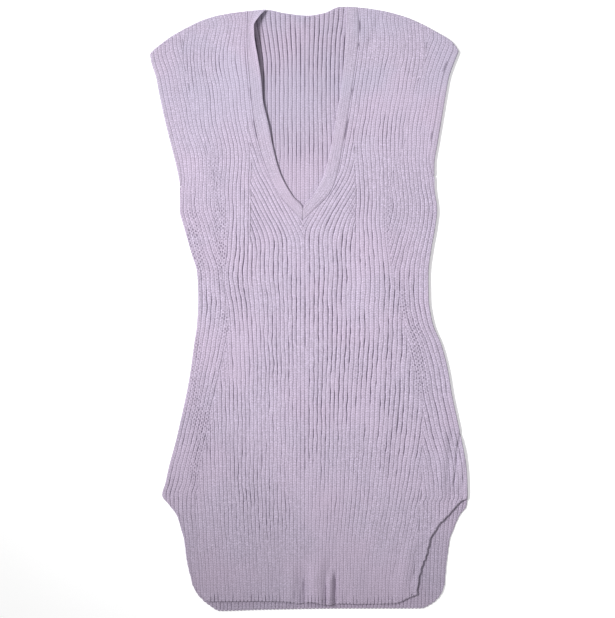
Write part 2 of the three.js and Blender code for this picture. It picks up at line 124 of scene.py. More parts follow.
# creases pressed into the front layer: troughs are negative
CREASES = table("x0 y0 x1 y1 height half run_out", [
    (35.8, -420, 36.6, -373, -2.8, 4.2, 18), (28.8, -420, 30.4, -377, 5.8, 7.0, 24), (44, -420, 44, -392, 0.6, 6.0, 12),
    (23.6, -420, 24.4, -384, -1.5, 2.0, 12), (20.0, -420, 21.0, -386, -0.6, 2.0, 10),
    (31, -402, 31.5, -366, -1.2, 2.4, 8), (-6.5, -420, -6, -385, -3.2, 2.8, 20), (-11, -420, -10, -398, -1.8, 2.4, 14),
    (-19, -420, -18, -392, -0.9, 3.5, 16), (3, -414, 6, -372, 0.8, 6.0, 20), (52, -420, 54, -392, -0.5, 7.0, 14),
    (-72, -420, -70, -398, -0.5, 6.0, 12), (92, -420, 90, -396, -0.6, 7.0, 14), (210, -166, 206, -188, -2.4, 2.4, 8),
    (205, -188, 203, -212, -2.2, 2.4, 8), (204, -216, 200, -238, -1.8, 2.4, 10), (214, -186, 211, -226, 1.0, 4.0, 12), (204, -182, 198, -236, 1.0, 6.0, 12),
    (210, -236, 212, -258, -0.9, 2.6, 8), (193, -196, 190, -240, -0.6, 4.0, 12), (-196, -222, -170, -262, 0.7, 9.0, 16),
    (-150, 60, -118, 20, 0.8, 12.0, 30), (-166, 130, -134, 100, 0.7, 12.0, 26), (150, 95, 126, 62, -0.6, 12.0, 24),
    (158, -20, 176, -72, 0.7, 11.0, 26), (-142, -60, -160, -120, 0.6, 12.0, 26), (96, 396, 84, 362, -0.8, 8.0, 14),
    (60, 404, 74, 372, 0.6, 7.0, 16), (-118, 392, -104, 352, 0.5, 9.0, 18), (-60, 96, -30, 40, 0.5, 14.0, 30),
    (40, 96, 26, 40, 0.4, 14.0, 30),
])
# the same on the back panel, seen from below
BACK_CREASES = table("x0 y0 x1 y1 height half run_out", [
    (-60, -420, -58, -372, -1.3, 5.0, 18), (22, -420, 20, -388, -0.9, 4.0, 14), (96, -420, 100, -366, -1.2, 6.0, 20),
    (-140, 40, -108, 8, 0.7, 12.0, 26), (146, 70, 118, 30, 0.7, 12.0, 28), (-20, 40, 24, -60, 0.5, 18.0, 50),
    (60, -140, 20, -230, 0.5, 16.0, 40), (-120, -150, -96, -220, -0.6, 12.0, 34), (-70, 380, -60, 330, 0.5, 10.0, 26),
])
# distance from wale to wale on each side of the centre: near it, further out, and beside the edge
PITCH_FRONT = table("y left_in left_mid left_out right_in right_mid right_out", [
    (410.8, 5.36, 5.20, 5.10, 5.43, 5.40, 5.30), (342.0, 5.36, 5.20, 5.10, 5.43, 5.40, 5.30),
    (287.0, 5.40, 5.17, 5.10, 5.45, 5.40, 5.30), (246.0, 5.45, 5.14, 5.02, 5.50, 5.45, 5.32),
    (204.0, 5.50, 5.30, 5.08, 5.50, 5.55, 5.36), (150.0, 5.70, 5.40, 5.25, 5.70, 5.50, 5.45),
    (94.0, 5.90, 5.60, 5.80, 6.20, 5.90, 5.90), (39.0, 6.00, 6.30, 6.15, 6.35, 6.70, 6.60),
    (-2.0, 5.75, 6.05, 6.15, 6.30, 6.50, 6.55), (-43.0, 5.50, 5.90, 6.05, 6.25, 6.45, 6.25),
    (-84.0, 5.40, 5.65, 5.60, 6.00, 6.50, 6.25), (-125.0, 5.42, 5.50, 5.45, 5.80, 6.60, 6.45),
    (-167.0, 5.42, 5.38, 5.50, 5.70, 6.40, 6.35), (-208.0, 5.38, 5.38, 5.65, 5.60, 6.05, 5.95),
    (-249.0, 5.32, 5.30, 5.75, 5.38, 5.80, 5.75), (-290.0, 5.24, 5.20, 5.45, 5.10, 5.50, 5.42),
    (-332.0, 5.06, 5.15, 5.20, 4.94, 5.15, 5.12), (-373.0, 4.90, 5.08, 5.10, 4.82, 4.88, 4.92),
    (-415.0, 4.85, 5.00, 5.00, 4.76, 4.80, 4.80),
])
PITCH_BACK = table("y left_in left_mid left_out right_in right_mid right_out", [
    (410.8, 7.00, 6.40, 6.00, 6.80, 6.30, 6.00), (380.0, 6.70, 6.20, 5.90, 6.50, 6.10, 5.90),
    (353.0, 6.13, 5.90, 5.70, 6.05, 5.90, 5.80), (325.0, 5.75, 5.70, 5.60, 5.87, 5.80, 5.70),
    (284.0, 5.74, 5.60, 5.50, 5.86, 5.70, 5.60), (243.0, 5.76, 5.60, 5.50, 6.06, 5.70, 5.60),
    (215.0, 5.70, 5.60, 5.50, 6.15, 5.80, 5.60), (100.0, 5.90, 5.80, 5.80, 6.20, 6.00, 5.90),
    (-2.0, 5.80, 6.00, 6.10, 6.20, 6.40, 6.40), (-167.0, 5.45, 5.45, 5.50, 5.70, 6.20, 6.20),
    (-290.0, 5.24, 5.20, 5.45, 5.10, 5.50, 5.42), (-415.0, 5.00, 5.05, 5.10, 4.95, 5.00, 5.05),
])
# where the wales that follow the side edges meet the upright ones
FASHION = table("y left right", [
    (424.5, -172.6, 164.3), (383.3, -172.6, 164.3), (342.0, -171.2, 160.2), (300.8, -164.3, 149.2),
    (259.5, -154.7, 140.9), (218.3, -142.3, 129.9), (183.9, -131.3, 116.2), (163.3, -125.1, 109.3),
    (135.8, -123.4, 109.3), (108.3, -121.7, 109.3), (71.2, -118.9, 112.8), (34.0, -115.6, 120.3),
    (5.2, -113.0, 127.2), (-21.0, -111.2, 132.7), (-51.2, -112.3, 137.5), (-74.6, -117.7, 143.0),
    (-109.0, -127.1, 153.3), (-137.8, -132.2, 156.8), (-166.7, -137.6, 156.8), (-195.6, -144.2, 156.8),
    (-216.2, -147.7, 156.8), (-245.1, -152.6, 155.3), (-269.8, -154.2, 154.0), (-318.0, -151.9, 149.2),
    (-359.2, -148.5, 145.1), (-417.0, -145.1, 139.6),
])
# where the wales that follow the V meet the upright ones
LEAD = table("y left right", [
    (424.5, -93.9, 79.3), (408.0, -93.9, 79.3), (372.3, -94.7, 79.3), (346.2, -93.9, 77.1), (317.3, -91.4, 72.5),
    (287.0, -89.0, 68.8), (255.4, -84.8, 64.2), (236.2, -82.2, 62.3), (215.5, -79.8, 63.0), (188.0, -79.8, 64.2),
    (163.3, -79.8, 65.3), (60.2, -79.8, 65.3),
])
# below the side seams the wales run straighter than the slit's edge, which cuts them
OUTERMOST = table("y left front back", [
    (-254.7, -201.4, 215.4, 219.3), (-276.7, -200.1, 214.0, 217.2), (-304.2, -196.6, 211.0, 213.8),
    (-345.5, -191.8, 207.0, 209.7), (-421.1, -184.9, 201.0, 204.2),
])
# the wales beside the V follow its edge down to y, and then a straight line that meets the centre at end
FLOW = {"left": {"y": 186.0, "end": 98.0}, "right": {"y": 186.0, "end": 108.0}}
LEAD_END = {"left": 80.0, "right": 96.0}
# how far the turn of those wales to upright is spread: at the centre, and for each wale further out
TURN = {"left": (8.0, 0.7), "right": (5.5, 1.2)}
# where the grooves get more (or less) painted shade than round them: centre, half widths, how much
GROOVE_SHADE_PATCHES = table("x y rx ry more", [
    (-95, 130, 26, 60, 0.30), (-40, 20, 60, 70, 0.25), (60, 60, 60, 80, 0.25), (100, 20, 40, 80, 0.30),
    (-60, -60, 70, 60, 0.15), (55, -90, 40, 70, 0.35), (110, -70, 36, 60, 0.30), (-50, -170, 90, 50, 0.15),
    (70, -180, 50, 36, 0.20), (-60, -300, 50, 26, 0.55), (10, -210, 70, 40, -0.10), (-160, -190, 30, 60, 0.15),
    (-130, 300, 50, 50, 0.10), (70, 320, 40, 40, 0.10), (-150, 60, 30, 60, -0.10), (150, 240, 60, 60, -0.10),
    (-120, 240, 40, 60, -0.15), (10, 120, 26, 20, 0.15), (60, 130, 22, 26, 0.35),
    (104, 330, 42, 20, 0.45), (100, 246, 52, 24, 0.60), (-142, 334, 50, 22, 0.50), (-118, 226, 26, 40, 0.35), (96, -120, 50, 70, 0.20), (-70, -262, 60, 20, 0.30),
    (35, -402, 3, 20, 1.1), (-6, -406, 3, 12, 0.8), (24.6, -402, 2.5, 14, 0.8), (-14, -408, 5, 8, 0.6), (160, -176, 30, 22, 0.25),
    (-80, 44, 56, 60, -0.12), (0, 70, 40, 40, -0.10), (70, 20, 56, 60, 0.16), (-130, 30, 30, 50, 0.15), (-86, 20, 26, 24, 0.35), (-40, 8, 26, 26, 0.25), (88, 105, 14, 20, 0.25),
])
BACK_GROOVE_SHADE_PATCHES = table("x y rx ry more", [
    (-10, 346, 70, 34, 0.40), (-10, 400, 70, 20, -0.12), (-10, 284, 60, 26, -0.34), (-10, 225, 46, 24, 0.42),
    (-10, 165, 50, 36, -0.60), (-8, 196, 14, 16, -0.2),
    (184, -330, 34, 56, -0.42), (190, -296, 30, 20, -0.20),
])
# places where stitches were moved sideways, which look dotted with painted shade
MOSS = table("x y rx ry more", [
    (-120, 111, 9, 42, 1.0), (-159, 101, 11, 36, 0.9), (-126, 198, 10, 38, 0.55), (-155, 58, 10, 42, 0.7),
    (-119, 64, 10, 26, 0.7), (-155, -57, 9, 22, 0.85), (-157, -98, 9, 26, 0.75), (-150, -142, 16, 26, 0.7),
    (-116, -22, 9, 20, 0.65), (-113, -79, 5, 26, 0.5), (-144, -170, 10, 24, 0.7), (-156, -222, 10, 28, 0.6),
    (-98, 30, 12, 12, 0.4), (60, 133, 8, 26, 0.7), (109, 122, 7, 26, 0.6), (-112, -188, 12, 16, 0.5), (-60, 20, 10, 10, 0.5), (-46, -2, 14, 8, 0.45), (148, -29, 11, 20, 0.85),
    (152, -70, 11, 24, 0.95), (157, -106, 9, 20, 0.7), (131, 5, 6, 24, 0.8), (109, -77, 6, 42, 0.4),
    (67, -87, 8, 24, 0.6), (68, -208, 8, 28, 0.45), (108, -191, 10, 34, 0.45), (176, 100, 9, 30, 0.5),
    (-70, 120, 10, 22, 0.5), (-8, 112, 7, 12, 0.8), (40, 226, 12, 22, 0.4), (-40, -30, 18, 12, 0.35),
])
# places where the grooves are shallow and pale
CALM = table("x y rx ry less", [
    (-80, -91, 36, 66, 0.55), (-140, 178, 48, 54, 0.5), (-12, -167, 62, 32, 0.3), (-115, -167, 44, 34, 0.45),
    (135, 94, 32, 42, 0.4), (168, 287, 34, 76, 0.5), (-100, 262, 50, 22, 0.4), (110, 288, 40, 12, 0.4), (-118, 390, 70, 22, 0.5), (130, 378, 60, 26, 0.5), (-196, 310, 30, 80, 0.55), (-184, 226, 22, 50, 0.4), (188, 296, 34, 90, 0.5),
    (-60, -326, 120, 26, 0.3), (110, -330, 80, 46, 0.35), (0, -388, 200, 26, 0.3), (-30, -118, 30, 24, 0.35),
    (-112, -38, 36, 24, 0.4), (30, -238, 46, 22, 0.3), (150, 200, 40, 40, 0.3),
])
# places where the wales lean: sideways per unit up
LEAN = table("x y rx ry slope", [
    (-98, 24, 34, 40, -0.085), (-92, 92, 44, 30, -0.02), (-138, 150, 40, 34, -0.12), (-128, 226, 50, 40, -0.12),
    (92, 140, 24, 26, 0.10), (-52, 36, 20, 30, -0.10), (30, 30, 24, 24, 0.08), (-58, -210, 40, 34, 0.05),
    (-122, 372, 46, 44, 0.26), (122, 384, 36, 34, -0.16), (70, -300, 46, 36, 0.06), (-30, -66, 34, 26, -0.05), (120, 236, 36, 30, -0.12),
])
# darker dashes of painted shade in the grooves along the fashioning line: on which side, between which heights, how
# much
CHAINS = table("side low high more", [
    ("left", -246, -50, 1.1), ("left", 60, 150, 0.5), ("right", 108, 156, 0.9), ("right", -30, 54, 0.8),
    ("right", -160, -90, 0.6),
])
# depth of the grooves between wales
DEPTH = table("y front back", [
    (415, 0.30, 1.15), (370, 0.45, 1.15), (300, 0.52, 1.0), (200, 0.60, 0.58), (140, 0.90, 0.32), (110, 1.1, 0.7),
    (-100, 1.15, 1.2), (-180, 0.95, 1.2), (-260, 0.60, 0.70), (-320, 0.34, 0.42), (-380, 0.25, 0.45), (-415, 0.20, 0.6),
])
# how dark the seams beside the neckbands look
SEAM_DARK = {"y": [110, 150, 190, 218, 222, 262, 266, 284, 288, 302, 306, 352, 358, 396, 402, 412],
             "left": [0.0, 0.1, 0.25, 0.5, 0.8, 0.8, 0.15, 0.15, 0.6, 0.6, 0.1, 0.1, 0.3, 0.3, 0.1, 0.1],
             "right": [0.0, 0.5, 0.6, 0.3, 0.9, 0.9, 0.8, 0.3, 0.35, 0.9, 0.3, 0.1, 0.9, 0.9, 0.5, 0.1]}
# and the dashes by the right armhole
ARM_DARK = [(228, 0.0), (233, 0.8), (243, 0.8), (248, 0.0), (276, 0.0), (280, 0.4), (300, 0.4), (304, 0.0), (322, 0.0),
            (328, 0.8), (338, 0.8), (344, 0.0)]
CORNER_Y = {"front": {"left": -379.8, "right": -392.2}, "back": {"left": -379.8, "right": -379.8}}
INWARD = {"left": 1.0, "right": -1.0}


def curve(rows, by, key):
    """Monotone cubic through a table's column."""
    rows = sorted(rows, key=lambda r: r[by])
    xs = np.array([r[by] for r in rows], float)
    ys = np.array([r[key] for r in rows], float)
    h = np.diff(xs)
    s = np.diff(ys) / h
    m = np.zeros(len(xs))
    m[0], m[-1] = s[0], s[-1]
    for k in range(1, len(xs) - 1):
        if s[k - 1] * s[k] > 0:
            wa, wb = 2 * h[k] + h[k - 1], h[k] + 2 * h[k - 1]
            m[k] = (wa + wb) / (wa / s[k - 1] + wb / s[k])

    def at(x):
        x = np.clip(np.asarray(x, float), xs[0], xs[-1])
        i = np.clip(np.searchsorted(xs, x, side="right") - 1, 0, len(h) - 1)
        t = (x - xs[i]) / h[i]
        t2, t3 = t * t, t * t * t
        return ((2 * t3 - 3 * t2 + 1) * ys[i] + (t3 - 2 * t2 + t) * h[i] * m[i]
                + (-2 * t3 + 3 * t2) * ys[i + 1] + (t3 - t2) * h[i] * m[i + 1])
    return at


side_curve = {s: curve(SIDES, "y", s) for s in ("left", "right")}
front_right = curve(FRONT_RIGHT, "y", "right")
top_line = curve(TOP_EDGE, "x", "y")
hem_line = {"front": curve(FRONT_HEM, "x", "y"), "back": curve(BACK_HEM, "x", "y")}
neck = {k: curve(NECK, "y", k) for k in ("seamL", "edgeL", "riseL", "edgeR", "seamR", "riseR")}
PITCH_KEYS = [side + part for side in ("left", "right") for part in ("_in", "_mid", "_out")]
pitch = {True: {k: curve(PITCH_FRONT, "y", k) for k in PITCH_KEYS},
         False: {k: curve(PITCH_BACK, "y", k) for k in PITCH_KEYS}}
fashion = {s: curve(FASHION, "y", s) for s in ("left", "right")}
lead = {s: curve(LEAD, "y", s) for s in ("left", "right")}
outermost = {k: curve(OUTERMOST, "y", k) for k in ("left", "front", "back")}
depth = {k: curve(DEPTH, "y", k) for k in ("front", "back")}


def mix(a, b, t):
    return a + (b - a) * t


def ease(t):
    t = np.clip(t, 0, 1)
    return t * t * (3 - 2 * t)


def swell(t):
    return np.where(t >= 1, 0, 0.5 + 0.5 * np.cos(np.pi * np.minimum(t, 1)))


def fold_lift(x, y, folds=FOLDS):
    lift = np.zeros(np.broadcast(x, y).shape)
    for f in folds:
        dx, dy = f["x1"] - f["x0"], f["y1"] - f["y0"]
        run = math.hypot(dx, dy)
        s = ((x - f["x0"]) * dx + (y - f["y0"]) * dy) / run
        past = np.maximum(0, np.maximum(-s, s - run))
        off = np.abs((x - f["x0"]) * dy - (y - f["y0"]) * dx) / run
        lift = lift + f["height"] * swell(off / f["half"]) * swell(past / f["run_out"])
    return lift


def underarm_y(side):
    return mix(APEX_Y, SHOULDER_TIP[side], UNDERARM_SHARE[side])


def armband_width(side, y):
    return mix(ARMBAND_LOW_END, ARMBAND[side],
               np.sin(np.clip((y - underarm_y(side)) / ARMBAND_TAPER, 0, 1) * np.pi / 2))


def panel_side(side, y, front):
    y = np.asarray(y, float)
    x = side_curve[side](y)
    if front and side == "right":
        x = np.where(y < FRONT_RIGHT[0]["y"], front_right(y), x)
    above = (y - underarm_y(side) - UNDERARM_STEP[0]) / (UNDERARM_STEP[1] - UNDERARM_STEP[0])
    inset = (armband_width(side, y) + 0.06) * np.clip(above, 0, 1)
    return x + INWARD[side] * inset


def neck_seam(side, y):
    """The front's own neck edge: one gap outside the band's seam."""
    f = neck["seamL" if side == "left" else "seamR"]
    slope = f(y + 0.5) - f(y - 0.5)
    away = np.minimum(0.12 * np.hypot(1, slope), 0.6)
    x = f(y) - INWARD[side] * away * 1.0
    return np.minimum(x, CENTRE_X) if side == "left" else np.maximum(x, CENTRE_X)


# ---------------------------------------------------------------- meshes
def mesh_object(name, verts, tris, uvs, marks=None):
    """An object from vertices in mm, triangles, and a UV for each triangle corner. Vertices that meet are one."""
    co = verts.copy()
    co[:, 0] -= CENTRING
    key = np.round(co * 1000).astype(np.int64)
    _, first, inverse = np.unique(key, axis=0, return_index=True, return_inverse=True)
    inverse = inverse.reshape(-1)
    co = co[first] * MM
    t = inverse[tris]
    good = (t[:, 0] != t[:, 1]) & (t[:, 1] != t[:, 2]) & (t[:, 2] != t[:, 0])
    t, uvs = t[good], uvs[good]
    used = np.unique(t)
    lookup = np.full(len(co), -1)
    lookup[used] = np.arange(len(used))
    co, t = co[used], lookup[t]
    marks = {k: v[first][used] for k, v in (marks or {}).items()}
    me = bpy.data.meshes.new(name)
    me.vertices.add(len(co))
    me.vertices.foreach_set("co", co.astype(np.float32).ravel())
    me.loops.add(t.size)
    me.loops.foreach_set("vertex_index", t.astype(np.int32).ravel())
    me.polygons.add(len(t))
    me.polygons.foreach_set("loop_start", (np.arange(len(t)) * 3).astype(np.int32))
    me.polygons.foreach_set("loop_total", np.full(len(t), 3, np.int32))
    me.update(calc_edges=True)
    layer = me.uv_layers.new(name="Knit")
    layer.data.foreach_set("uv", uvs.astype(np.float32).ravel())
    me.polygons.foreach_set("use_smooth", np.ones(len(t), bool))
    for k, v in marks.items():
        me.attributes.new(k, "FLOAT", "POINT").data.foreach_set("value", v.astype(np.float32))
    me.update()
    ob = bpy.data.objects.new(name, me)
    bpy.context.scene.collection.objects.link(ob)
    return ob


class Soup:
    def __init__(self):
        self.verts, self.tris, self.uvs, self.marks, self.count = [], [], [], [], 0

    def grid(self, points, uv, marks=None):
        """Adds a grid of points (rows, columns, 3) with uv (rows, columns, 2) and returns its vertex numbers."""
        r, c = points.shape[:2]
        numbers = self.count + np.arange(r * c).reshape(r, c)
        self.verts.append(points.reshape(-1, 3))
        self.uvs.append(uv.reshape(-1, 2))
        self.marks.append(np.zeros((r * c, 3)) if marks is None else marks.reshape(-1, 3))
        self.count += r * c
        return numbers

    def quads(self, a, b, c, d, flip=False):
        a, b, c, d = (np.asarray(v).ravel() for v in (a, b, c, d))
        t = np.concatenate([np.stack([a, b, c], 1), np.stack([a, c, d], 1)])
        self.tris.append(t[:, ::-1] if flip else t)

    def build(self, name):
        verts, uv = np.concatenate(self.verts), np.concatenate(self.uvs)
        tris = np.concatenate(self.tris)
        marks = np.concatenate(self.marks)
        return mesh_object(name, verts, tris, uv[tris], {"groove": marks[:, 0], "moss": marks[:, 1], "seam": marks[:, 2]})


FRACTIONS = np.array([0.0, 0.12, 0.30, 0.70, 0.88])


def rib(f):
    """Height of a wale across its width: 1 on its crest, 0 in the grooves."""
    return 1 - np.abs(2 * (f % 1.0) - 1) ** 3.4


def neck_distance(side):
    """Distance of the front's neck edge from the centre line, spread along Y for the wales further and further out."""
    ys = np.arange(-200.0, 700.0, 1.0)
    n = np.abs(neck_seam(side, np.clip(ys, APEX_Y, 410)) - CENTRE_X)
    flow = FLOW[side]
    start = float(np.interp(flow["y"], ys, n))
    n = np.where(ys < flow["y"], start * np.clip((ys - flow["end"]) / (flow["y"] - flow["end"]), 0, 1), n)
    t = np.linspace(-3, 3, 31)
    g = np.exp(-0.5 * t * t)
    g /= g.sum()

    def at(y, spread):
        y, spread = np.broadcast_arrays(y, spread)
        return sum(gk * np.interp(y + spread * tk, ys, n) for gk, tk in zip(g, t))
    return at


def clipped(raw, c, lo, hi):
    """Positions of the wale lines c held between lo and hi, and the value of c where they were cut."""
    out_c = np.empty_like(raw)
    for r in range(len(raw)):
        c_lo, c_hi = np.interp([lo[r], hi[r]], raw[r], c)
        out_c[r] = np.clip(c, c_lo, c_hi)
    return np.clip(raw, lo[:, None], hi[:, None]), out_c


def wale_lines(first, last):
    return np.concatenate([np.arange(first, last)[:, None] + FRACTIONS[None, :]]).ravel().tolist() + [float(last)]


def lane_noise(lane, y, run, seed):
    """Smooth noise from 0 to 1 along y, in runs of that length, different in each numbered lane."""
    t = y / run + np.mod(lane * 0.731 + seed, 7.0)
    k = np.floor(t)
    f = ease(t - k)
    value = lambda n: np.mod(np.abs(np.sin(n * 127.1 + lane * 311.7 + seed * 74.7)) * 43758.5453, 1.0)
    return mix(value(k), value(k + 1), f)


def patchwork(rows, x, y):
    total = np.zeros(np.broadcast(x, y).shape)
    for p in rows:
        total += p["more"] * np.exp(-((x - p["x"]) / p["rx"]) ** 2 - ((y - p["y"]) / p["ry"]) ** 2)
    return total


def row_table(step):
    edge = np.array([0.0, 0.7, 1.7, 3.2])
    top_len = 408.0 - APEX_Y
    inner = np.linspace(edge[-1], top_len, int((top_len - edge[-1]) / step) + 1)[1:-1]
    shares = 1 - np.concatenate([edge, inner]) / top_len
    body = np.linspace(APEX_Y, SKIRT_Y, int((APEX_Y - SKIRT_Y) / step) + 1)
    skirt_len = 75.0
    inner = np.linspace(0, skirt_len - edge[-1], int(skirt_len / step) + 1)[1:]
    skirt = np.concatenate([inner, skirt_len - edge[-2::-1]]) / skirt_len
    return shares, body, skirt


def panel(name, front):
    kind = "front" if front else "back"
    shares, body, skirt = row_table(ROW_STEP)
    extra = []
    for side in ("left", "right"):
        tip_x = float(panel_side(side, SHOULDER_TIP[side], front))
        extra += [(underarm_y(side) + up - APEX_Y) / (float(top_line(tip_x)) - APEX_Y) for up in UNDERARM_STEP]
    near_extra = np.min(np.abs(shares[:, None] - np.array(extra)[None, :]), 1) < 0.005
    shares = np.sort(np.concatenate([shares[~near_extra], extra]))[::-1]
    n_top, n_body, n_skirt = len(shares), len(body), len(skirt)
    rows = n_top + n_body + n_skirt
    zone = np.array([0] * n_top + [1] * n_body + [2] * n_skirt)
    q = np.concatenate([shares, body, skirt])
    soup = Soup()
    for side in ("left", "right"):
        flip = side == "left"
        tip_x = float(panel_side(side, SHOULDER_TIP[side], front))
        tip_y = float(top_line(tip_x))
        inner_top_x = float(neck_seam(side, 409.0)) if front else CENTRE_X
        inner_top_x = float(neck_seam(side, float(top_line(inner_top_x)))) if front else CENTRE_X
        inner_top_y = float(top_line(inner_top_x))
        corner_y = CORNER_Y[kind][side]
        corner_x = float(panel_side(side, corner_y, front))
        y_out = np.where(zone == 0, mix(APEX_Y, tip_y, q), np.where(zone == 1, q, mix(SKIRT_Y, corner_y, q)))
        y_in = np.where(zone == 0, mix(APEX_Y, inner_top_y, q),
                        np.where(zone == 1, q, mix(SKIRT_Y, float(hem_line[kind](CENTRE_X)), q)))
        x_out = panel_side(side, y_out, front)
        x_in = np.full(rows, CENTRE_X)
        if front:
            x_in = np.where(y_in > APEX_Y + 1e-6, neck_seam(side, y_in), CENTRE_X)
        # everything across is a distance from the centre line; rows slope a little at the top and the hem
        near, far = np.abs(x_in - CENTRE_X), np.abs(x_out - CENTRE_X)
        y_at = lambda share: y_in + (y_out - y_in) * share
        p = pitch[front][side + "_in"](y_at(0.15))
        p_mid = pitch[front][side + "_mid"](y_at(0.55))
        p_out = pitch[front][side + "_out"](y_at(0.9))
        f_line = np.abs(fashion[side](y_at(0.75)) - CENTRE_X)
        out_key = "left" if side == "left" else kind
        at_band = np.abs(side_curve[side](y_out) - CENTRE_X) - (ARMBAND[side] + GAP) * ease((y_out - underarm_y(side) + 34) / 90)
        virtual = np.where(y_out < OUTERMOST[0]["y"], np.abs(outermost[out_key](y_out) - CENTRE_X),
                           np.where(y_out > 60, at_band, far))
        virtual = np.where(y_out > 60, virtual, np.maximum(virtual, far))
        if front:
            turned = neck_distance(side)
            near_turn, per_wale = TURN[side]
            c_in = np.array(wale_lines(-9, 15)) - 0.5
            outer = np.clip(c_in, 0, None)
            raw = c_in * p[:, None] + turned(y_in[:, None], (near_turn + per_wale * outer)[None, :])
            # above LEAD's end the wales beside the V are cut by its line, and below it they run on with the rest
            end_y = LEAD_END[side]
            end_p = float(pitch[True][side + "_in"](end_y))
            width = abs(float(lead[side](end_y)) - CENTRE_X)
            inner = width / end_p
            for _ in range(6):
                inner = (width - float(turned(end_y, near_turn + per_wale * inner))) / end_p
            run_on = inner * p + turned(y_in, np.full(rows, near_turn + per_wale * inner))
            l_line = np.where(y_at(0.35) > end_y, np.abs(lead[side](y_at(0.35)) - CENTRE_X), run_on)
            l_line = np.maximum(l_line, near)
        else:
            c_in = np.array(wale_lines(0, 14)) - 0.5
            raw = c_in * p[:, None]
            inner = INNER_WALES
            l_line = inner * p
        l_line = np.minimum(l_line, f_line - 0.5)
        pos_a, c_a = clipped(raw, c_in, near, l_line)
        part_wale = np.full(rows, (inner + 0.5) % 1.0)
        if front:
            # further up they run on from the wales beside the band
            met = c_a[:, -1] + 0.5
            level = y_at(0.35)
            whole = round(float(np.interp(-225.0, -level, met)) - part_wale[0])
            part_wale = mix(met, part_wale + whole, ease((255 - level) / 65))
        most = int(math.ceil(((f_line - l_line) / p_mid + part_wale).max())) + 2
        c_mid = np.array(wale_lines(int(math.floor(part_wale.min())), most))
        pos_b, c_b = clipped(l_line[:, None] + (c_mid - part_wale[:, None]) * p_mid[:, None], c_mid, l_line, f_line)
        n_side = int(math.ceil(((virtual - f_line) / p_out).max())) + 1
        c_out = np.array(wale_lines(-n_side, 1))
        pos_c, c_c = clipped(virtual[:, None] + c_out * p_out[:, None], c_out, f_line, far)
        pos = np.concatenate([pos_a, pos_b, pos_c], 1)
        frac = np.concatenate([c_a + 0.5, c_b, c_c], 1)
        c = np.concatenate([c_a + 20.5, c_b + 60, c_c + 110], 1)
        frac = frac - np.floor(frac + 1e-9)
        u = (pos - near[:, None]) / (far - near)[:, None]
        x = mix(x_in[:, None], x_out[:, None], u)
        y = np.repeat(q[:, None], x.shape[1], 1)
        t = zone == 0
        xt = mix(inner_top_x, tip_x, u[t])
        y[t] = mix(APEX_Y, top_line(xt), q[t][:, None])
        s = zone == 2
        xb = mix(CENTRE_X, corner_x, u[s])
        y[s] = mix(SKIRT_Y, hem_line[kind](xb), q[s][:, None])
        # distance to the nearest free or seamed edge, and to the lines where wales are cut
        slope = np.gradient(virtual, y_out)
        d_side = np.abs(x - x_out[:, None]) / np.hypot(1, slope)[:, None]
        d_top = np.where(t, (1 - q) * (408 - APEX_Y), 1e3)[:, None] + 0 * x
        d_hem = np.where(s, (1 - q) * 75.0, 1e3)[:, None] + 0 * x
        d = np.minimum(np.minimum(d_side, d_top), d_hem)
        d_seam = np.full_like(x, 1e3)
        if front:
            d_seam = np.where((y_in > APEX_Y + 1e-6)[:, None], np.abs(x - x_in[:, None]), 1e3)
        lead_y, fashion_y = y_at(0.35), y_at(0.75)
        lead_dip = (ease((lead_y - LEAD_END[side]) / 12) * ease((196 - lead_y) / 50) if front else np.zeros(rows))[:, None]
        fashion_dip = (mix(0.7, 1.0, ease((190 - fashion_y) / 50)) * mix(0.5, 1.0, ease((fashion_y + 285) / 40)))[:, None]
        lead_dip = 0.25 * lead_dip
        # the wales wander a little from side to side
        fade = ease(d / 14) * ease(np.abs(x - x_in[:, None]) / 14)
        k = 1.0 if side == "left" else -1.0
        sway = (0.22 * np.sin(y / 19.0 + x / 9.5 * k + 0.6) + 0.20 * np.sin(y / 9.3 - x / 17.0 * k)
                + 0.20 * np.sin(y / 5.3 + x / 2.9) + 0.14 * np.sin(y / 3.4 - x / 4.3))
        lane = np.round(c)
        lane = np.where((side == "right") & (c > 20.55), lane + 100, lane)
        # where groups of wales meet, they agree
        apart = ease(np.abs(pos - l_line[:, None]) / 3.0) * ease(np.abs(pos - f_line[:, None]) / 3.0)
        if front:
            sway = sway + apart * (0.9 * (lane_noise(lane, y, 17.0, 2.0) - 0.5) + 0.5 * (lane_noise(lane, y, 7.0, 6.0) - 0.5))
            for a in LEAN:
                sway = sway + a["slope"] * (y - a["y"]) * np.exp(-((x - a["x"]) / a["rx"]) ** 2 - ((y - a["y"]) / a["ry"]) ** 2)
        else:
            sway = 0.6 * sway + apart * 0.35 * (lane_noise(lane, y, 15.0, 2.0) - 0.5)
        x = x + sway * fade
        # each wale ends round at the hem, and the slits' edges are a little ragged
        y = y + 1.5 * (0.5 - rib(frac)) * ease(1 - d_hem / 7.0)
        ragged = 0.80 * np.sin(y_out / 1.9 + 3.0 * np.sin(y_out / 11.0)) + 0.50 * np.sin(y_out / 6.1)
        ragged = ragged * ease((SLIT_TOP_Y - y_out) / 14) * ease((y_out + 392) / 8) * (1.0 if front and side == "right" else 0.3)
        x = x + (ragged[:, None] * ease(1 - d_side / 6.0) - 0.5 * ease(1 - d_side / 6.0) * (y_out < SLIT_TOP_Y)[:, None]
                 ) * (1 if side == "right" else -1)
        base_z = fold_lift(x, y) + LAYER if front else np.zeros_like(x)
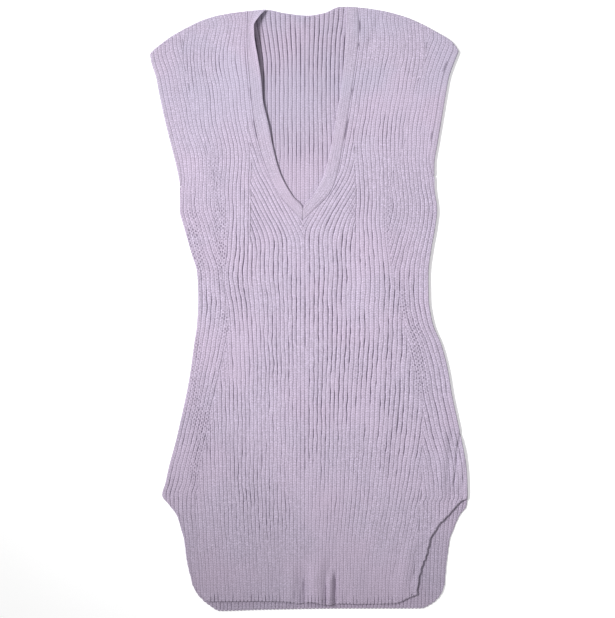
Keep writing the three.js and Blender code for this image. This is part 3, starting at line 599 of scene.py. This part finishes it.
        # the grooves stand out in streaks, some longer than others
        cloud = (0.5 + 0.27 * np.sin(x / 19 + 1.4 * np.sin(y / 33 + 0.8))
                 + 0.23 * np.sin(y / 27 + 1.6 * np.sin(x / 24 + 1.1)))
        streak = 0.46 * lane_noise(lane, y, 37.0, 1.0) + 0.30 * lane_noise(lane, y, 14.0, 5.0) + 0.24 * lane_noise(
            lane, y, 6.5, 9.0) + 0.34 * (cloud - 0.5)
        streak = mix(0.45, ease((streak - 0.26) / 0.46), apart)
        outer_group = ease((pos - f_line[:, None] + 9) / 10)
        moss, calm = np.zeros_like(x), np.ones_like(x)
        if front:
            moss = 0.35 * np.exp(-(((pos - f_line[:, None]) - 4) / 11) ** 2) * ease((240 - y) / 60) * ease((y + 270) / 60)
            moss = np.maximum(moss, 0.3 * outer_group * np.interp(y, [-260, -180, 0, 60, 140, 200], [0.3, 0.6, 0.6, 1.0, 0.9, 0.2]))
            moss = np.clip(moss + patchwork(MOSS, x, y), 0, 1)
            calm = 1 - np.clip(-patchwork([dict(a, more=-a["less"]) for a in CALM], x, y), 0, 0.75)
        deep = depth[kind](y) * ((0.5 + 0.65 * streak) if front else (0.66 + 0.5 * streak))
        deep = deep * (1 - 0.45 * moss) * mix(0.4, 1.0, calm)
        # at the edges the grooves are shallower, and where wales are cut they dip together
        deep = deep * mix(0.15, 1.0, ease(d / 4.5)) * mix(0.3, 1.0, ease(d_seam / 4.5))
        if front:
            base_z = base_z + fold_lift(x, y, CREASES)
            # the hem and the slits' edges curl up a little
            base_z = base_z + 1.3 * ease((-y - 258) / 14) * np.exp(-d_side / 5.5)
            base_z = base_z + 0.9 * np.exp(-d_hem / 5.0)
        dip = (1 - lead_dip * (1 - ease(np.abs(pos - l_line[:, None]) / (0.32 * p[:, None])))) * (
            1 - fashion_dip * (1 - ease(np.abs(pos - f_line[:, None]) / (0.32 * p[:, None]))))
        lump = 0.10 * np.sin(y / 11.0 + x / 2.5) + 0.07 * np.sin(y / 23.0 - x / 5.1 + 1.0)
        crest = rib(frac) * dip
        high = base_z + CLOTH - deep * (1 - crest) + lump * ease(d / 8) * crest
        low = base_z + 0.8 * deep * (1 - rib(frac + 0.5))
        if front:
            low = np.maximum(low, CLOTH + 0.05)
        else:
            # the underside's creases go up into the cloth, which stays flat where it rests
            low = low + 0.9 * np.clip(np.abs(fold_lift(x, y, BACK_CREASES)), 0, 1.5)
        # rolled edges
        reach = 2.4
        roll = 1 - np.sqrt(1 - np.clip(1 - d / reach, 0, 1) ** 2)
        free = (y < SLIT_TOP_Y) | (np.minimum(d_side, d_top) > d_hem)
        if front:
            high = high - roll * np.where(free, 1.3, np.where(d_side < d_top, 0.3, 1.2))
            low = low + roll * np.where(free, 0.6, 0.25)
        else:
            high = high - roll * np.where(free, 1.2, 0.5)
            low = low + roll * np.where(free, 0.7, 1.2)
        shown = 0.12 + 0.6 * ease((lane_noise(0.0, y, 46.0, 3.0 if side == "left" else 4.0) - 0.35) / 0.3)
        if side == "left":
            shown = shown * 0.6
        high = high - shown * ease(1 - d_seam / 1.4)
        if front:
            high = np.maximum(high, CLOTH + 0.6)
        low = np.minimum(low, high - 0.4)
        # how much painted shade the grooves get, and where they look dotted
        groove_shade = np.interp(y, [-415, -345, -250, -160, 60, 110, 200, 330, 415],
                           [0.10, 0.16, 0.62, 0.98, 0.92, 0.76, 0.42, 0.48, 0.22] if front
                           else [0.5, 0.5, 0.6, 0.7, 0.7, 0.6, 0.56, 0.84, 0.86])
        groove_shade = np.clip(groove_shade + patchwork(GROOVE_SHADE_PATCHES if front else BACK_GROOVE_SHADE_PATCHES, x, y), 0.05, 1.3)
        groove_shade = groove_shade * ((0.18 + 1.05 * streak) if front else (0.50 + 0.78 * streak))
        groove_shade = groove_shade * mix(0.15, 1.0, ease(np.minimum(d, d_seam) / 3.5))
        # painted shade: darker dashes in the grooves just above the front's hem
        if front:
            groove_shade = groove_shade + 1.9 * np.exp(-((d_hem - 4.5) / 5) ** 2) * ease((streak - 0.25) / 0.4)
        groove_shade = groove_shade * calm * mix(0.3, 1.0, np.maximum(apart, ease((SKIRT_Y + 60 - y) / 20))) * (1 - 0.30 * outer_group * ease((150 - y) / 60) * ease((y + 200) / 60))
        if front:
            dash = ease((lane_noise(lane, y, 6.0, 13.0) - 0.30) / 0.35)
            groove_shade = groove_shade * mix(1.0, mix(0.50, 1.28, dash), ease((170 - y) / 70))
            for a in CHAINS:
                if a["side"] == side:
                    within = ease((y - a["low"]) / 14) * ease((a["high"] - y) / 14)
                    groove_shade = groove_shade + a["more"] * within * dash * np.exp(-((pos - f_line[:, None] - 6) / 7) ** 2)
        seam = np.zeros_like(x)
        if front:
            seam = np.interp(y, SEAM_DARK["y"], SEAM_DARK[side]) * mix(0.35, 1.0, ease((lane_noise(3.0, y, 7.0, 1.0) - 0.3) / 0.3))
            seam = seam * np.clip(1.5 * (1 - (pos - near[:, None] - 0.3) / 2.6), 0, 1)
            if side == "right":
                dash = np.interp(y, [a[0] for a in ARM_DARK], [a[1] for a in ARM_DARK])
                seam = np.maximum(seam, dash * np.clip(1.4 - np.abs(far[:, None] - pos - 1.6) / 1.0, 0, 1))
        marks = np.stack([groove_shade, np.clip(moss, 0, 1), seam], -1)
        uv = np.stack([c + (0 if side == "left" else 200), y / COURSE], -1)
        up = soup.grid(np.stack([x, y, high], -1), uv, marks)
        # the underside has two lines to a wale, but all of them where it meets the top and bottom edges
        keep = np.unique(np.concatenate([np.flatnonzero(np.isin(np.round(np.concatenate(
            [c_in + 0.5, c_mid, c_out]) % 1.0, 3), [0.0, 0.3])), [0, x.shape[1] - 1]]))
        down = soup.grid(np.stack([x, y, low], -1), uv + np.array([0.5, 0.0]), marks)
        part = down[:, keep]
        soup.quads(up[1:, :-1], up[1:, 1:], up[:-1, 1:], up[:-1, :-1], flip)
        soup.quads(part[1:-2, :-1], part[1:-2, 1:], part[2:-1, 1:], part[2:-1, :-1], flip)
        for full, inside, turn in ((down[0], part[1], flip), (down[-1], part[-2], not flip)):
            tris = []
            for j in range(len(keep) - 1):
                for i in range(keep[j], keep[j + 1]):
                    tris.append((full[i], full[i + 1], inside[j]))
                tris.append((full[keep[j + 1]], inside[j + 1], inside[j]))
            tris = np.array(tris)
            soup.tris.append(tris[:, ::-1] if turn else tris)
        soup.quads(down[1:, -1], down[:-1, -1], up[:-1, -1], up[1:, -1], flip)
        soup.quads(down[0, 1:], down[0, :-1], up[0, :-1], up[0, 1:], flip)
        soup.quads(down[-1, :-1], down[-1, 1:], up[-1, 1:], up[-1, :-1], flip)
        if front:
            r = np.arange(n_top)
            soup.quads(down[r, 0], down[r + 1, 0], up[r + 1, 0], up[r, 0], flip)
    return soup.build(name)


def neckband(name, side):
    key = "L" if side == "left" else "R"
    inward = INWARD[side]
    stations = 110
    shares = np.concatenate([[1.0, 0.997, 0.992], np.linspace(0.985, 0.0, stations)])
    seam_x, edge_x = float(neck["seam" + key](411)), float(neck["edge" + key](411))
    y_seam = np.maximum(mix(APEX_Y, float(top_line(seam_x)), shares), APEX_Y + 1.3 * GAP)
    y_edge = mix(V_POINT_Y, float(top_line(edge_x)), shares)
    limit = CENTRE_X - inward * 0.04
    hold = (lambda v: np.minimum(v, limit)) if side == "left" else (lambda v: np.maximum(v, limit))
    xs, xe = hold(neck["seam" + key](y_seam)), hold(neck["edge" + key](y_edge))
    xs[-1] = xe[-1] = limit
    rise = neck["rise" + key](y_edge)
    base = LAYER + fold_lift(xs, y_seam)
    # across the band: share from seam to free edge, height as a share of the cloth
    section = np.array([
        (0.00, 0.20), (0.03, 0.02), (0.25, 0.0), (0.5, 0.0), (0.75, 0.0), (0.95, 0.05), (1.0, 0.22), (1.012, 0.45),
        (1.0, 0.68), (0.965, 0.88), (0.9, 0.98), (0.75, 1.03), (0.6, 1.02), (0.45, 1.03), (0.3, 1.02), (0.14, 1.0),
        (0.04, 0.97), (0.005, 0.88), (0.0, 0.6),
    ])
    sh, th = section[:, 0][None, :], section[:, 1][None, :]
    x = mix(xs[:, None], xe[:, None], sh)
    y = mix(y_seam[:, None], y_edge[:, None], sh)
    end = np.where(shares > 0.98, (shares - 0.98) / 0.02, 0.0)[:, None]
    z = base[:, None] + rise[:, None] * sh ** 5 + CLOTH * mix(th, 0.5 + (th - 0.5) * 0.55, end ** 2)
    limit_all = (lambda v: np.minimum(v, limit)) if side == "left" else (lambda v: np.maximum(v, limit))
    x = limit_all(x)
    length = np.concatenate([[0], np.cumsum(np.hypot(np.diff(0.5 * (xs + xe)), np.diff(0.5 * (y_seam + y_edge))))])
    u = np.cumsum(np.concatenate([[0], np.hypot(np.diff(section[:, 0]) * 18.0, np.diff(section[:, 1]) * CLOTH)]))
    uv = np.stack([np.repeat(u[None, :] / 3.6, len(xs), 0), np.repeat(length[:, None] / 2.9, len(u), 1)], -1)
    soup = Soup()
    g = soup.grid(np.stack([x, y, z], -1), uv)
    n = g.shape[1]
    nxt = (np.arange(n) + 1) % n
    # seen from the shoulder end towards the V, the section turns one way on the left and the other on the right
    soup.quads(g[:-1, :], g[:-1, nxt], g[1:, nxt], g[1:, :], side == "right")
    centre = np.stack([x, y, z], -1).mean(1)
    for r, back in ((0, side == "left"), (len(xs) - 1, side == "right")):
        hub = soup.grid(centre[r][None, None, :], uv[r].mean(0)[None, None, :])[0, 0]
        a, b = g[r, :], g[r, nxt]
        t = np.stack([np.full(n, hub), a, b], 1)
        soup.tris.append(t[:, ::-1] if back else t)
    return soup.build(name)


def armhole_band(name, side):
    inward = INWARD[side]
    y_low = underarm_y(side) + LAYER + GAP
    x_tip = float(side_curve[side](SHOULDER_TIP[side]))
    x_tip_in = x_tip + inward * ARMBAND[side]
    t = np.linspace(0, 1, 60)
    y_out = mix(y_low, float(top_line(x_tip)) - LAYER, t)
    y_in = mix(y_low, float(top_line(x_tip_in)) - LAYER, t)
    x_out = side_curve[side](y_out)
    x_in = side_curve[side](y_in) + inward * armband_width(side, y_in)
    middle = CLOTH + GAP / 2
    section = np.array([
        (0.0, 0.12), (0.05, 0.0), (0.5, 0.0), (0.9, 0.0), (0.98, 0.1), (1.0, 0.3), (0.99, 0.55), (0.94, 0.78),
        (0.85, 0.93), (0.7, 1.0), (0.5, 1.02), (0.3, 1.01), (0.12, 1.0), (0.02, 0.94), (0.0, 0.8),
    ])
    sh, th = section[:, 0], section[:, 1]
    reach = GAP / 2 + CLOTH * th
    rings = []

    def ring(i, angle, direction):
        ax, ay = x_in[i], y_in[i]
        bx, by = x_out[i], y_out[i]
        px, py = mix(ax, bx, sh), mix(ay, by, sh)
        out = reach * math.sin(angle)
        z = middle + reach * math.cos(angle)
        return np.stack([px + direction[0] * out, py + direction[1] * out, z], -1)

    def heading(i, j):
        v = np.array([x_out[i] + x_in[i] - x_out[j] - x_in[j], y_out[i] + y_in[i] - y_out[j] - y_in[j]])
        return v / np.hypot(*v)

    n, steps = len(t), 8
    for i in range(n):
        rings.append(ring(i, 0.0, (0, 0)))
    for a in range(1, steps):
        rings.append(ring(n - 1, a * math.pi / steps, heading(n - 1, n - 2)))
    for i in range(n - 1, -1, -1):
        rings.append(ring(i, math.pi, (0, 0)))
    for a in range(steps - 1, 0, -1):
        rings.append(ring(0, a * math.pi / steps, heading(0, 1)))
    pts = np.stack(rings + [rings[0]])
    run = np.concatenate([[0], np.cumsum(np.linalg.norm(np.diff(pts.mean(1), axis=0), axis=1))])
    u = np.cumsum(np.concatenate([[0], np.hypot(np.diff(sh) * 8.0, np.diff(th) * CLOTH)]))
    uv = np.stack([np.repeat(u[None, :] / 3.4, len(pts), 0), np.repeat(run[:, None] / 2.9, len(u), 1)], -1)
    soup = Soup()
    g = soup.grid(pts, uv)
    m = g.shape[1]
    nxt = (np.arange(m) + 1) % m
    soup.quads(g[:-1, :], g[:-1, nxt], g[1:, nxt], g[1:, :], side == "right")
    return soup.build(name)


# ---------------------------------------------------------------- materials
class Nodes:
    """A short way to write a node tree."""

    def __init__(self, name):
        self.material = bpy.data.materials.new(name)
        self.material.use_nodes = True
        self.tree = self.material.node_tree
        self.tree.nodes.clear()

    def add(self, kind, **values):
        node = self.tree.nodes.new(kind)
        for k, v in values.items():
            setattr(node, k, v)
        return node

    def link(self, a, b):
        self.tree.links.new(a, b)

    def put(self, socket, value):
        if hasattr(value, "is_output"):
            self.link(value, socket)
        else:
            socket.default_value = value

    def math(self, op, a, b=0.0, c=0.0, clamp=False):
        node = self.add("ShaderNodeMath", operation=op, use_clamp=clamp)
        for s, v in zip(node.inputs, (a, b, c)):
            self.put(s, v)
        return node.outputs[0]

    def noise(self, x, y, z, scale=1.0, detail=2.0, rough=0.5):
        v = self.add("ShaderNodeCombineXYZ")
        for s, value in zip(v.inputs, (x, y, z)):
            self.put(s, value)
        n = self.add("ShaderNodeTexNoise")
        self.link(v.outputs[0], n.inputs["Vector"])
        n.inputs["Scale"].default_value = scale
        n.inputs["Detail"].default_value = detail
        n.inputs["Roughness"].default_value = rough
        return n.outputs["Fac"]

    def ramp(self, value, a, b, lo=0.0, hi=1.0):
        """Smoothly from lo at a to hi at b."""
        n = self.add("ShaderNodeMapRange", interpolation_type="SMOOTHSTEP")
        self.put(n.inputs["Value"], value)
        for key, v in (("From Min", a), ("From Max", b), ("To Min", lo), ("To Max", hi)):
            n.inputs[key].default_value = v
        return n.outputs["Result"]

    def mix_colour(self, fac, a, b, kind="MIX"):
        n = self.add("ShaderNodeMix", data_type="RGBA", blend_type=kind)
        self.put(n.inputs[0], fac)
        for socket, v in ((n.inputs[6], a), (n.inputs[7], b)):
            if hasattr(v, "is_output"):
                self.link(v, socket)
            else:
                socket.default_value = (*v, 1.0)
        return n.outputs[2]


def knit_material(name, yarn, shade, ribbed, groove_shade_strength=1.0, stitch=1.0):
    """Wool-like knit. U counts wales and V counts rows of stitches. Ribbed cloth has its grooves at whole numbers of U."""
    n = Nodes(name)
    uv = n.add("ShaderNodeUVMap", uv_map="Knit")
    split = n.add("ShaderNodeSeparateXYZ")
    n.link(uv.outputs[0], split.inputs[0])
    u, v = split.outputs[0], split.outputs[1]
    place = n.add("ShaderNodeTexCoord")
    at = n.add("ShaderNodeSeparateXYZ")
    n.link(place.outputs["Object"], at.inputs[0])
    px, py, pz = at.outputs
    frac = n.math("FRACT", u)
    off = n.math("ABSOLUTE", n.math("MULTIPLY", n.math("SUBTRACT", frac, 0.5), 2.0))  # 0 on the crest, 1 in the groove
    # the two legs of each stitch make a V
    lean = n.math("MULTIPLY", off, 0.62 if ribbed else 0.5)
    drift = n.noise(n.math("MULTIPLY", px, 70.0), n.math("MULTIPLY", py, 110.0), 6.0, 1.0, 2.0, 0.6)
    phase = n.math("FRACT", n.math("ADD", n.math("ADD", v, lean), n.math("MULTIPLY", drift, 1.6)))
    leg = n.math("SINE", n.math("MULTIPLY", phase, math.pi))
    split_line = n.ramp(off, 0.0, 0.22, 0.55, 1.0)
    stitch_height = n.math("MULTIPLY", n.math("POWER", leg, 0.6), split_line)
    # painted shade in the grooves, uneven: streaks along each groove, and patches
    groove_at = n.math("ROUND", u)
    groove_shade_mark = n.add("ShaderNodeAttribute", attribute_name="groove").outputs["Fac"]
    moss = n.add("ShaderNodeAttribute", attribute_name="moss").outputs["Fac"]
    streak = n.noise(n.math("MULTIPLY", groove_at, 3.17), n.math("MULTIPLY", v, 0.075), 0.0, 1.0, 2.0, 0.6)
    dash = n.noise(n.math("MULTIPLY", groove_at, 5.3), n.math("MULTIPLY", v, 0.42), 4.0, 1.0, 1.0, 0.5)
    patch = n.noise(n.math("MULTIPLY", px, 22.0), n.math("MULTIPLY", py, 13.0), 1.5, 1.0, 2.0, 0.55)
    colour = yarn
    wale = n.noise(n.math("MULTIPLY", n.math("FLOOR", u), 2.31), n.math("MULTIPLY", v, 0.05), 9.0, 1.0, 2.0, 0.5)
    tone = n.ramp(wale, 0.3, 0.7, 0.0, 1.0)
    light = tuple(min(1.0, c * 1.045) for c in yarn)
    dim = tuple(c * 0.945 for c in yarn)
    colour = n.mix_colour(tone, dim, light)
    heather = n.noise(n.math("MULTIPLY", px, 1400.0), n.math("MULTIPLY", py, 900.0), n.math("MULTIPLY", pz, 900.0), 1.0, 2.0, 0.6)
    cool = (yarn[0] * 0.90, yarn[1] * 0.95, yarn[2] * 1.04)
    colour = n.mix_colour(n.ramp(heather, 0.42, 0.72, 0.0, 0.42), colour, cool)
    loop = n.noise(n.math("MULTIPLY", px, 520.0), n.math("MULTIPLY", py, 430.0), n.math("MULTIPLY", pz, 430.0), 1.0, 1.0, 0.5)
    colour = n.mix_colour(n.ramp(loop, 0.34, 0.64, 0.0, 0.62), colour, tuple(c * 0.68 for c in yarn))
    # painted highlights: small bright specks on the yarn
    glint = n.noise(n.math("MULTIPLY", px, 610.0), n.math("MULTIPLY", py, 500.0), n.math("ADD", n.math("MULTIPLY", pz, 400.0), 7.0), 1.0, 1.0, 0.5)
    colour = n.mix_colour(n.ramp(glint, 0.52, 0.72, 0.0, 0.55), colour, tuple(min(0.9, c * 1.32) for c in yarn))
    haze = n.noise(n.math("MULTIPLY", px, 9.0), n.math("MULTIPLY", py, 9.0), 3.0, 1.0, 3.0, 0.55)
    warm = (yarn[0] * 1.02, yarn[1] * 0.965, yarn[2] * 0.985)
    colour = n.mix_colour(n.ramp(haze, 0.4, 0.65, 0.0, 0.5), colour, warm)
    cloudy = n.noise(n.math("MULTIPLY", px, 12.0), n.math("MULTIPLY", py, 12.0), 8.0, 1.0, 2.0, 0.5)
    cool_part = n.math("MULTIPLY", n.ramp(py, 0.18, 0.33, 0.10, 0.50), n.ramp(cloudy, 0.40, 0.62, 0.15, 1.0))
    colour = n.mix_colour(cool_part, colour, (yarn[0] * 0.875, yarn[1] * 0.955, yarn[2] * 0.965))
    # the shade between stitches and in the grooves
    between = n.math("MULTIPLY", n.math("SUBTRACT", 1.0, stitch_height), 0.42 * stitch)
    colour = n.mix_colour(between, colour, shade)
    if ribbed:
        line = n.ramp(off, 0.74, 0.96)
        groove_shade_amount = n.math("MULTIPLY", n.ramp(streak, 0.34, 0.58, 0.65, 1.0), n.ramp(patch, 0.3, 0.66, 0.8, 1.0))
        groove_shade_amount = n.math("MULTIPLY", groove_shade_amount, n.ramp(dash, 0.3, 0.6, 0.6, 1.1))
        groove_shade_amount = n.math("MULTIPLY", groove_shade_amount, n.math("SUBTRACT", 1.0, n.math("MULTIPLY", moss, 0.5)))
        groove_shade_amount = n.math("MULTIPLY", n.math("MULTIPLY", groove_shade_amount, groove_shade_mark), groove_shade_strength)
        colour = n.mix_colour(n.math("MULTIPLY", line, groove_shade_amount, clamp=True), colour, shade)
        # dotted where stitches were moved sideways: painted shade in dark spots two to a wale, out of step from column
        # to column, which also dent the bump
        half = n.math("MULTIPLY", u, 2.0)
        column = n.math("ROUND", half)
        beside = n.ramp(n.math("ABSOLUTE", n.math("SUBTRACT", half, column)), 0.16, 0.46, 1.0, 0.0)
        step = n.math("FRACT", n.math("ADD", n.math("ADD", n.math("MULTIPLY", v, 0.64), n.math("MULTIPLY", column, 0.5)),
                                      n.math("MULTIPLY", drift, 0.8)))
        above = n.ramp(n.math("ABSOLUTE", n.math("SUBTRACT", step, 0.5)), 0.13, 0.36, 1.0, 0.0)
        uneven = n.ramp(n.noise(n.math("MULTIPLY", column, 3.3), n.math("MULTIPLY", v, 0.5), 2.0, 1.0, 1.0, 0.5), 0.34, 0.56, 0.25, 1.0)
        shaded_dots = n.math("MULTIPLY", n.math("MULTIPLY", beside, above), n.math("MULTIPLY", uneven, moss))
        colour = n.mix_colour(n.math("MULTIPLY", shaded_dots, 0.68), colour, shade)
        seam = n.add("ShaderNodeAttribute", attribute_name="seam").outputs["Fac"]
        colour = n.mix_colour(n.math("MULTIPLY", n.ramp(seam, 0.15, 1.0), 0.75), colour, shade)
        line = n.math("MAXIMUM", n.math("MULTIPLY", line, n.math("SUBTRACT", 1.0, n.math("MULTIPLY", moss, 0.4))), shaded_dots)
        height = n.math("ADD", n.math("MULTIPLY", stitch_height, 0.5), n.math("MULTIPLY", n.math("SUBTRACT", 1.0, line), 0.9))
    else:
        # painted shade in the gap beside each column of the band's stitches, which also dents the bump
        shaded_gap = n.math("MULTIPLY", n.ramp(off, 0.66, 1.0, 0.0, 0.55), n.ramp(streak, 0.36, 0.6, 0.35, 1.0))
        colour = n.mix_colour(shaded_gap, colour, shade)
        height = n.math("SUBTRACT", n.math("MULTIPLY", stitch_height, 0.6), n.math("MULTIPLY", shaded_gap, 0.8))
    fuzz = n.noise(n.math("MULTIPLY", px, 2600.0), n.math("MULTIPLY", py, 2600.0), n.math("MULTIPLY", pz, 2600.0), 1.0, 3.0, 0.7)
    height = n.math("ADD", height, n.math("MULTIPLY", fuzz, 0.22))
    bump = n.add("ShaderNodeBump")
    bump.inputs["Strength"].default_value = 0.75
    bump.inputs["Distance"].default_value = 0.0007
    n.link(height, bump.inputs["Height"])
    rough = n.ramp(fuzz, 0.3, 0.7, 0.84, 0.97)
    shader = n.add("ShaderNodeBsdfPrincipled")
    n.link(colour, shader.inputs["Base Color"])
    n.link(rough, shader.inputs["Roughness"])
    n.link(bump.outputs[0], shader.inputs["Normal"])
    shader.inputs["Specular IOR Level"].default_value = 0.18
    shader.inputs["Sheen Weight"].default_value = 0.22
    shader.inputs["Sheen Roughness"].default_value = 0.45
    shader.inputs["Sheen Tint"].default_value = (0.93, 0.88, 1.0, 1.0)
    out = n.add("ShaderNodeOutputMaterial")
    n.link(shader.outputs[0], out.inputs[0])
    return n.material


def plain_material(name, colour, roughness, glow=0.0):
    n = Nodes(name)
    shader = n.add("ShaderNodeBsdfPrincipled")
    shader.inputs["Base Color"].default_value = (*colour, 1.0)
    shader.inputs["Roughness"].default_value = roughness
    shader.inputs["Specular IOR Level"].default_value = 0.1
    shader.inputs["Emission Color"].default_value = (1.0, 1.0, 1.0, 1.0)
    shader.inputs["Emission Strength"].default_value = glow
    out = n.add("ShaderNodeOutputMaterial")
    n.link(shader.outputs[0], out.inputs[0])
    return n.material


YARN = (0.530, 0.455, 0.578)
# the bands' yarn is the panels' yarn made a little lighter, as painted light that offsets the shade on the bands'
# tilted faces
YARN_BAND_LIGHTENED = (0.556, 0.481, 0.603)
SHADE = (0.085, 0.064, 0.104)
front_knit = knit_material("front_rib_knit", YARN, SHADE, True, 0.95)
back_knit = knit_material("back_rib_knit", tuple(c * 0.95 for c in YARN), SHADE, True, 1.0)
band_knit = knit_material("band_knit", YARN_BAND_LIGHTENED, SHADE, False, stitch=1.05)

# ---------------------------------------------------------------- the pieces
back = panel("vest_back", False)
front = panel("vest_front", True)
bands = {
    "neckband_left": neckband("vest_neckband_left", "left"),
    "neckband_right": neckband("vest_neckband_right", "right"),
    "armhole_band_left": armhole_band("vest_armhole_band_left", "left"),
    "armhole_band_right": armhole_band("vest_armhole_band_right", "right"),
}
for piece, node, slot, material in (
    (back, "back_panel", "rib_knit_back", back_knit),
    (front, "front_panel", "rib_knit", front_knit),
    *((ob, node, "band_knit", band_knit) for node, ob in bands.items()),
):
    piece.data.materials.append(material)
    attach(piece, "root")
    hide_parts(node)

neckbands = [bands["neckband_left"], bands["neckband_right"]]

# ---------------------------------------------------------------- floor, light, camera
me = bpy.data.meshes.new("floor")
s = 4.0
me.from_pydata([(-s, -s, -0.0003), (s, -s, -0.0003), (s, s, -0.0003), (-s, s, -0.0003)], [], [(0, 1, 2, 3)])
floor = bpy.data.objects.new("floor", me)
bpy.context.scene.collection.objects.link(floor)
me.materials.append(plain_material("pale_floor", (0.93, 0.93, 0.93), 0.9, 0.26))

scene = bpy.context.scene
world = bpy.data.worlds.new("studio")
scene.world = world
world.use_nodes = True
world.node_tree.nodes["Background"].inputs[0].default_value = (1.0, 1.0, 1.0, 1.0)
world.node_tree.nodes["Background"].inputs[1].default_value = 0.47


def lamp(name, kind, where, target, power, **values):
    light = bpy.data.lights.new(name, kind)
    light.energy = power
    for key, value in values.items():
        setattr(light, key, value)
    ob = bpy.data.objects.new(name, light)
    scene.collection.objects.link(ob)
    ob.location = where
    ob.rotation_euler = (Vector(target) - Vector(where)).to_track_quat("-Z", "Y").to_euler()
    return ob


# even light from the left, and a wide pool of light on the upper part that fades towards the hem
lamp("left_window", "SUN", (-1.5, 1.1, 1.9), (0.0, 0.1, 0.0), 1.10, angle=0.16)
lamp("pool", "SPOT", (-1.6, 0.35, 2.2), (0.05, 0.135, 0.0), 284.0, spot_size=0.480, spot_blend=1.0, shadow_soft_size=0.16)

cam = bpy.data.cameras.new("camera")
cam.sensor_width = 36.0
cam.lens = 93.2
cam.clip_end = 20.0
camera = bpy.data.objects.new("camera", cam)
camera.location = (-0.00177, -0.00034, 2.205)
scene.collection.objects.link(camera)
scene.camera = camera
scene.view_settings.view_transform = "Standard"
scene.view_settings.look = "None"
scene.view_settings.exposure = 0.0
scene.view_settings.gamma = 1.0
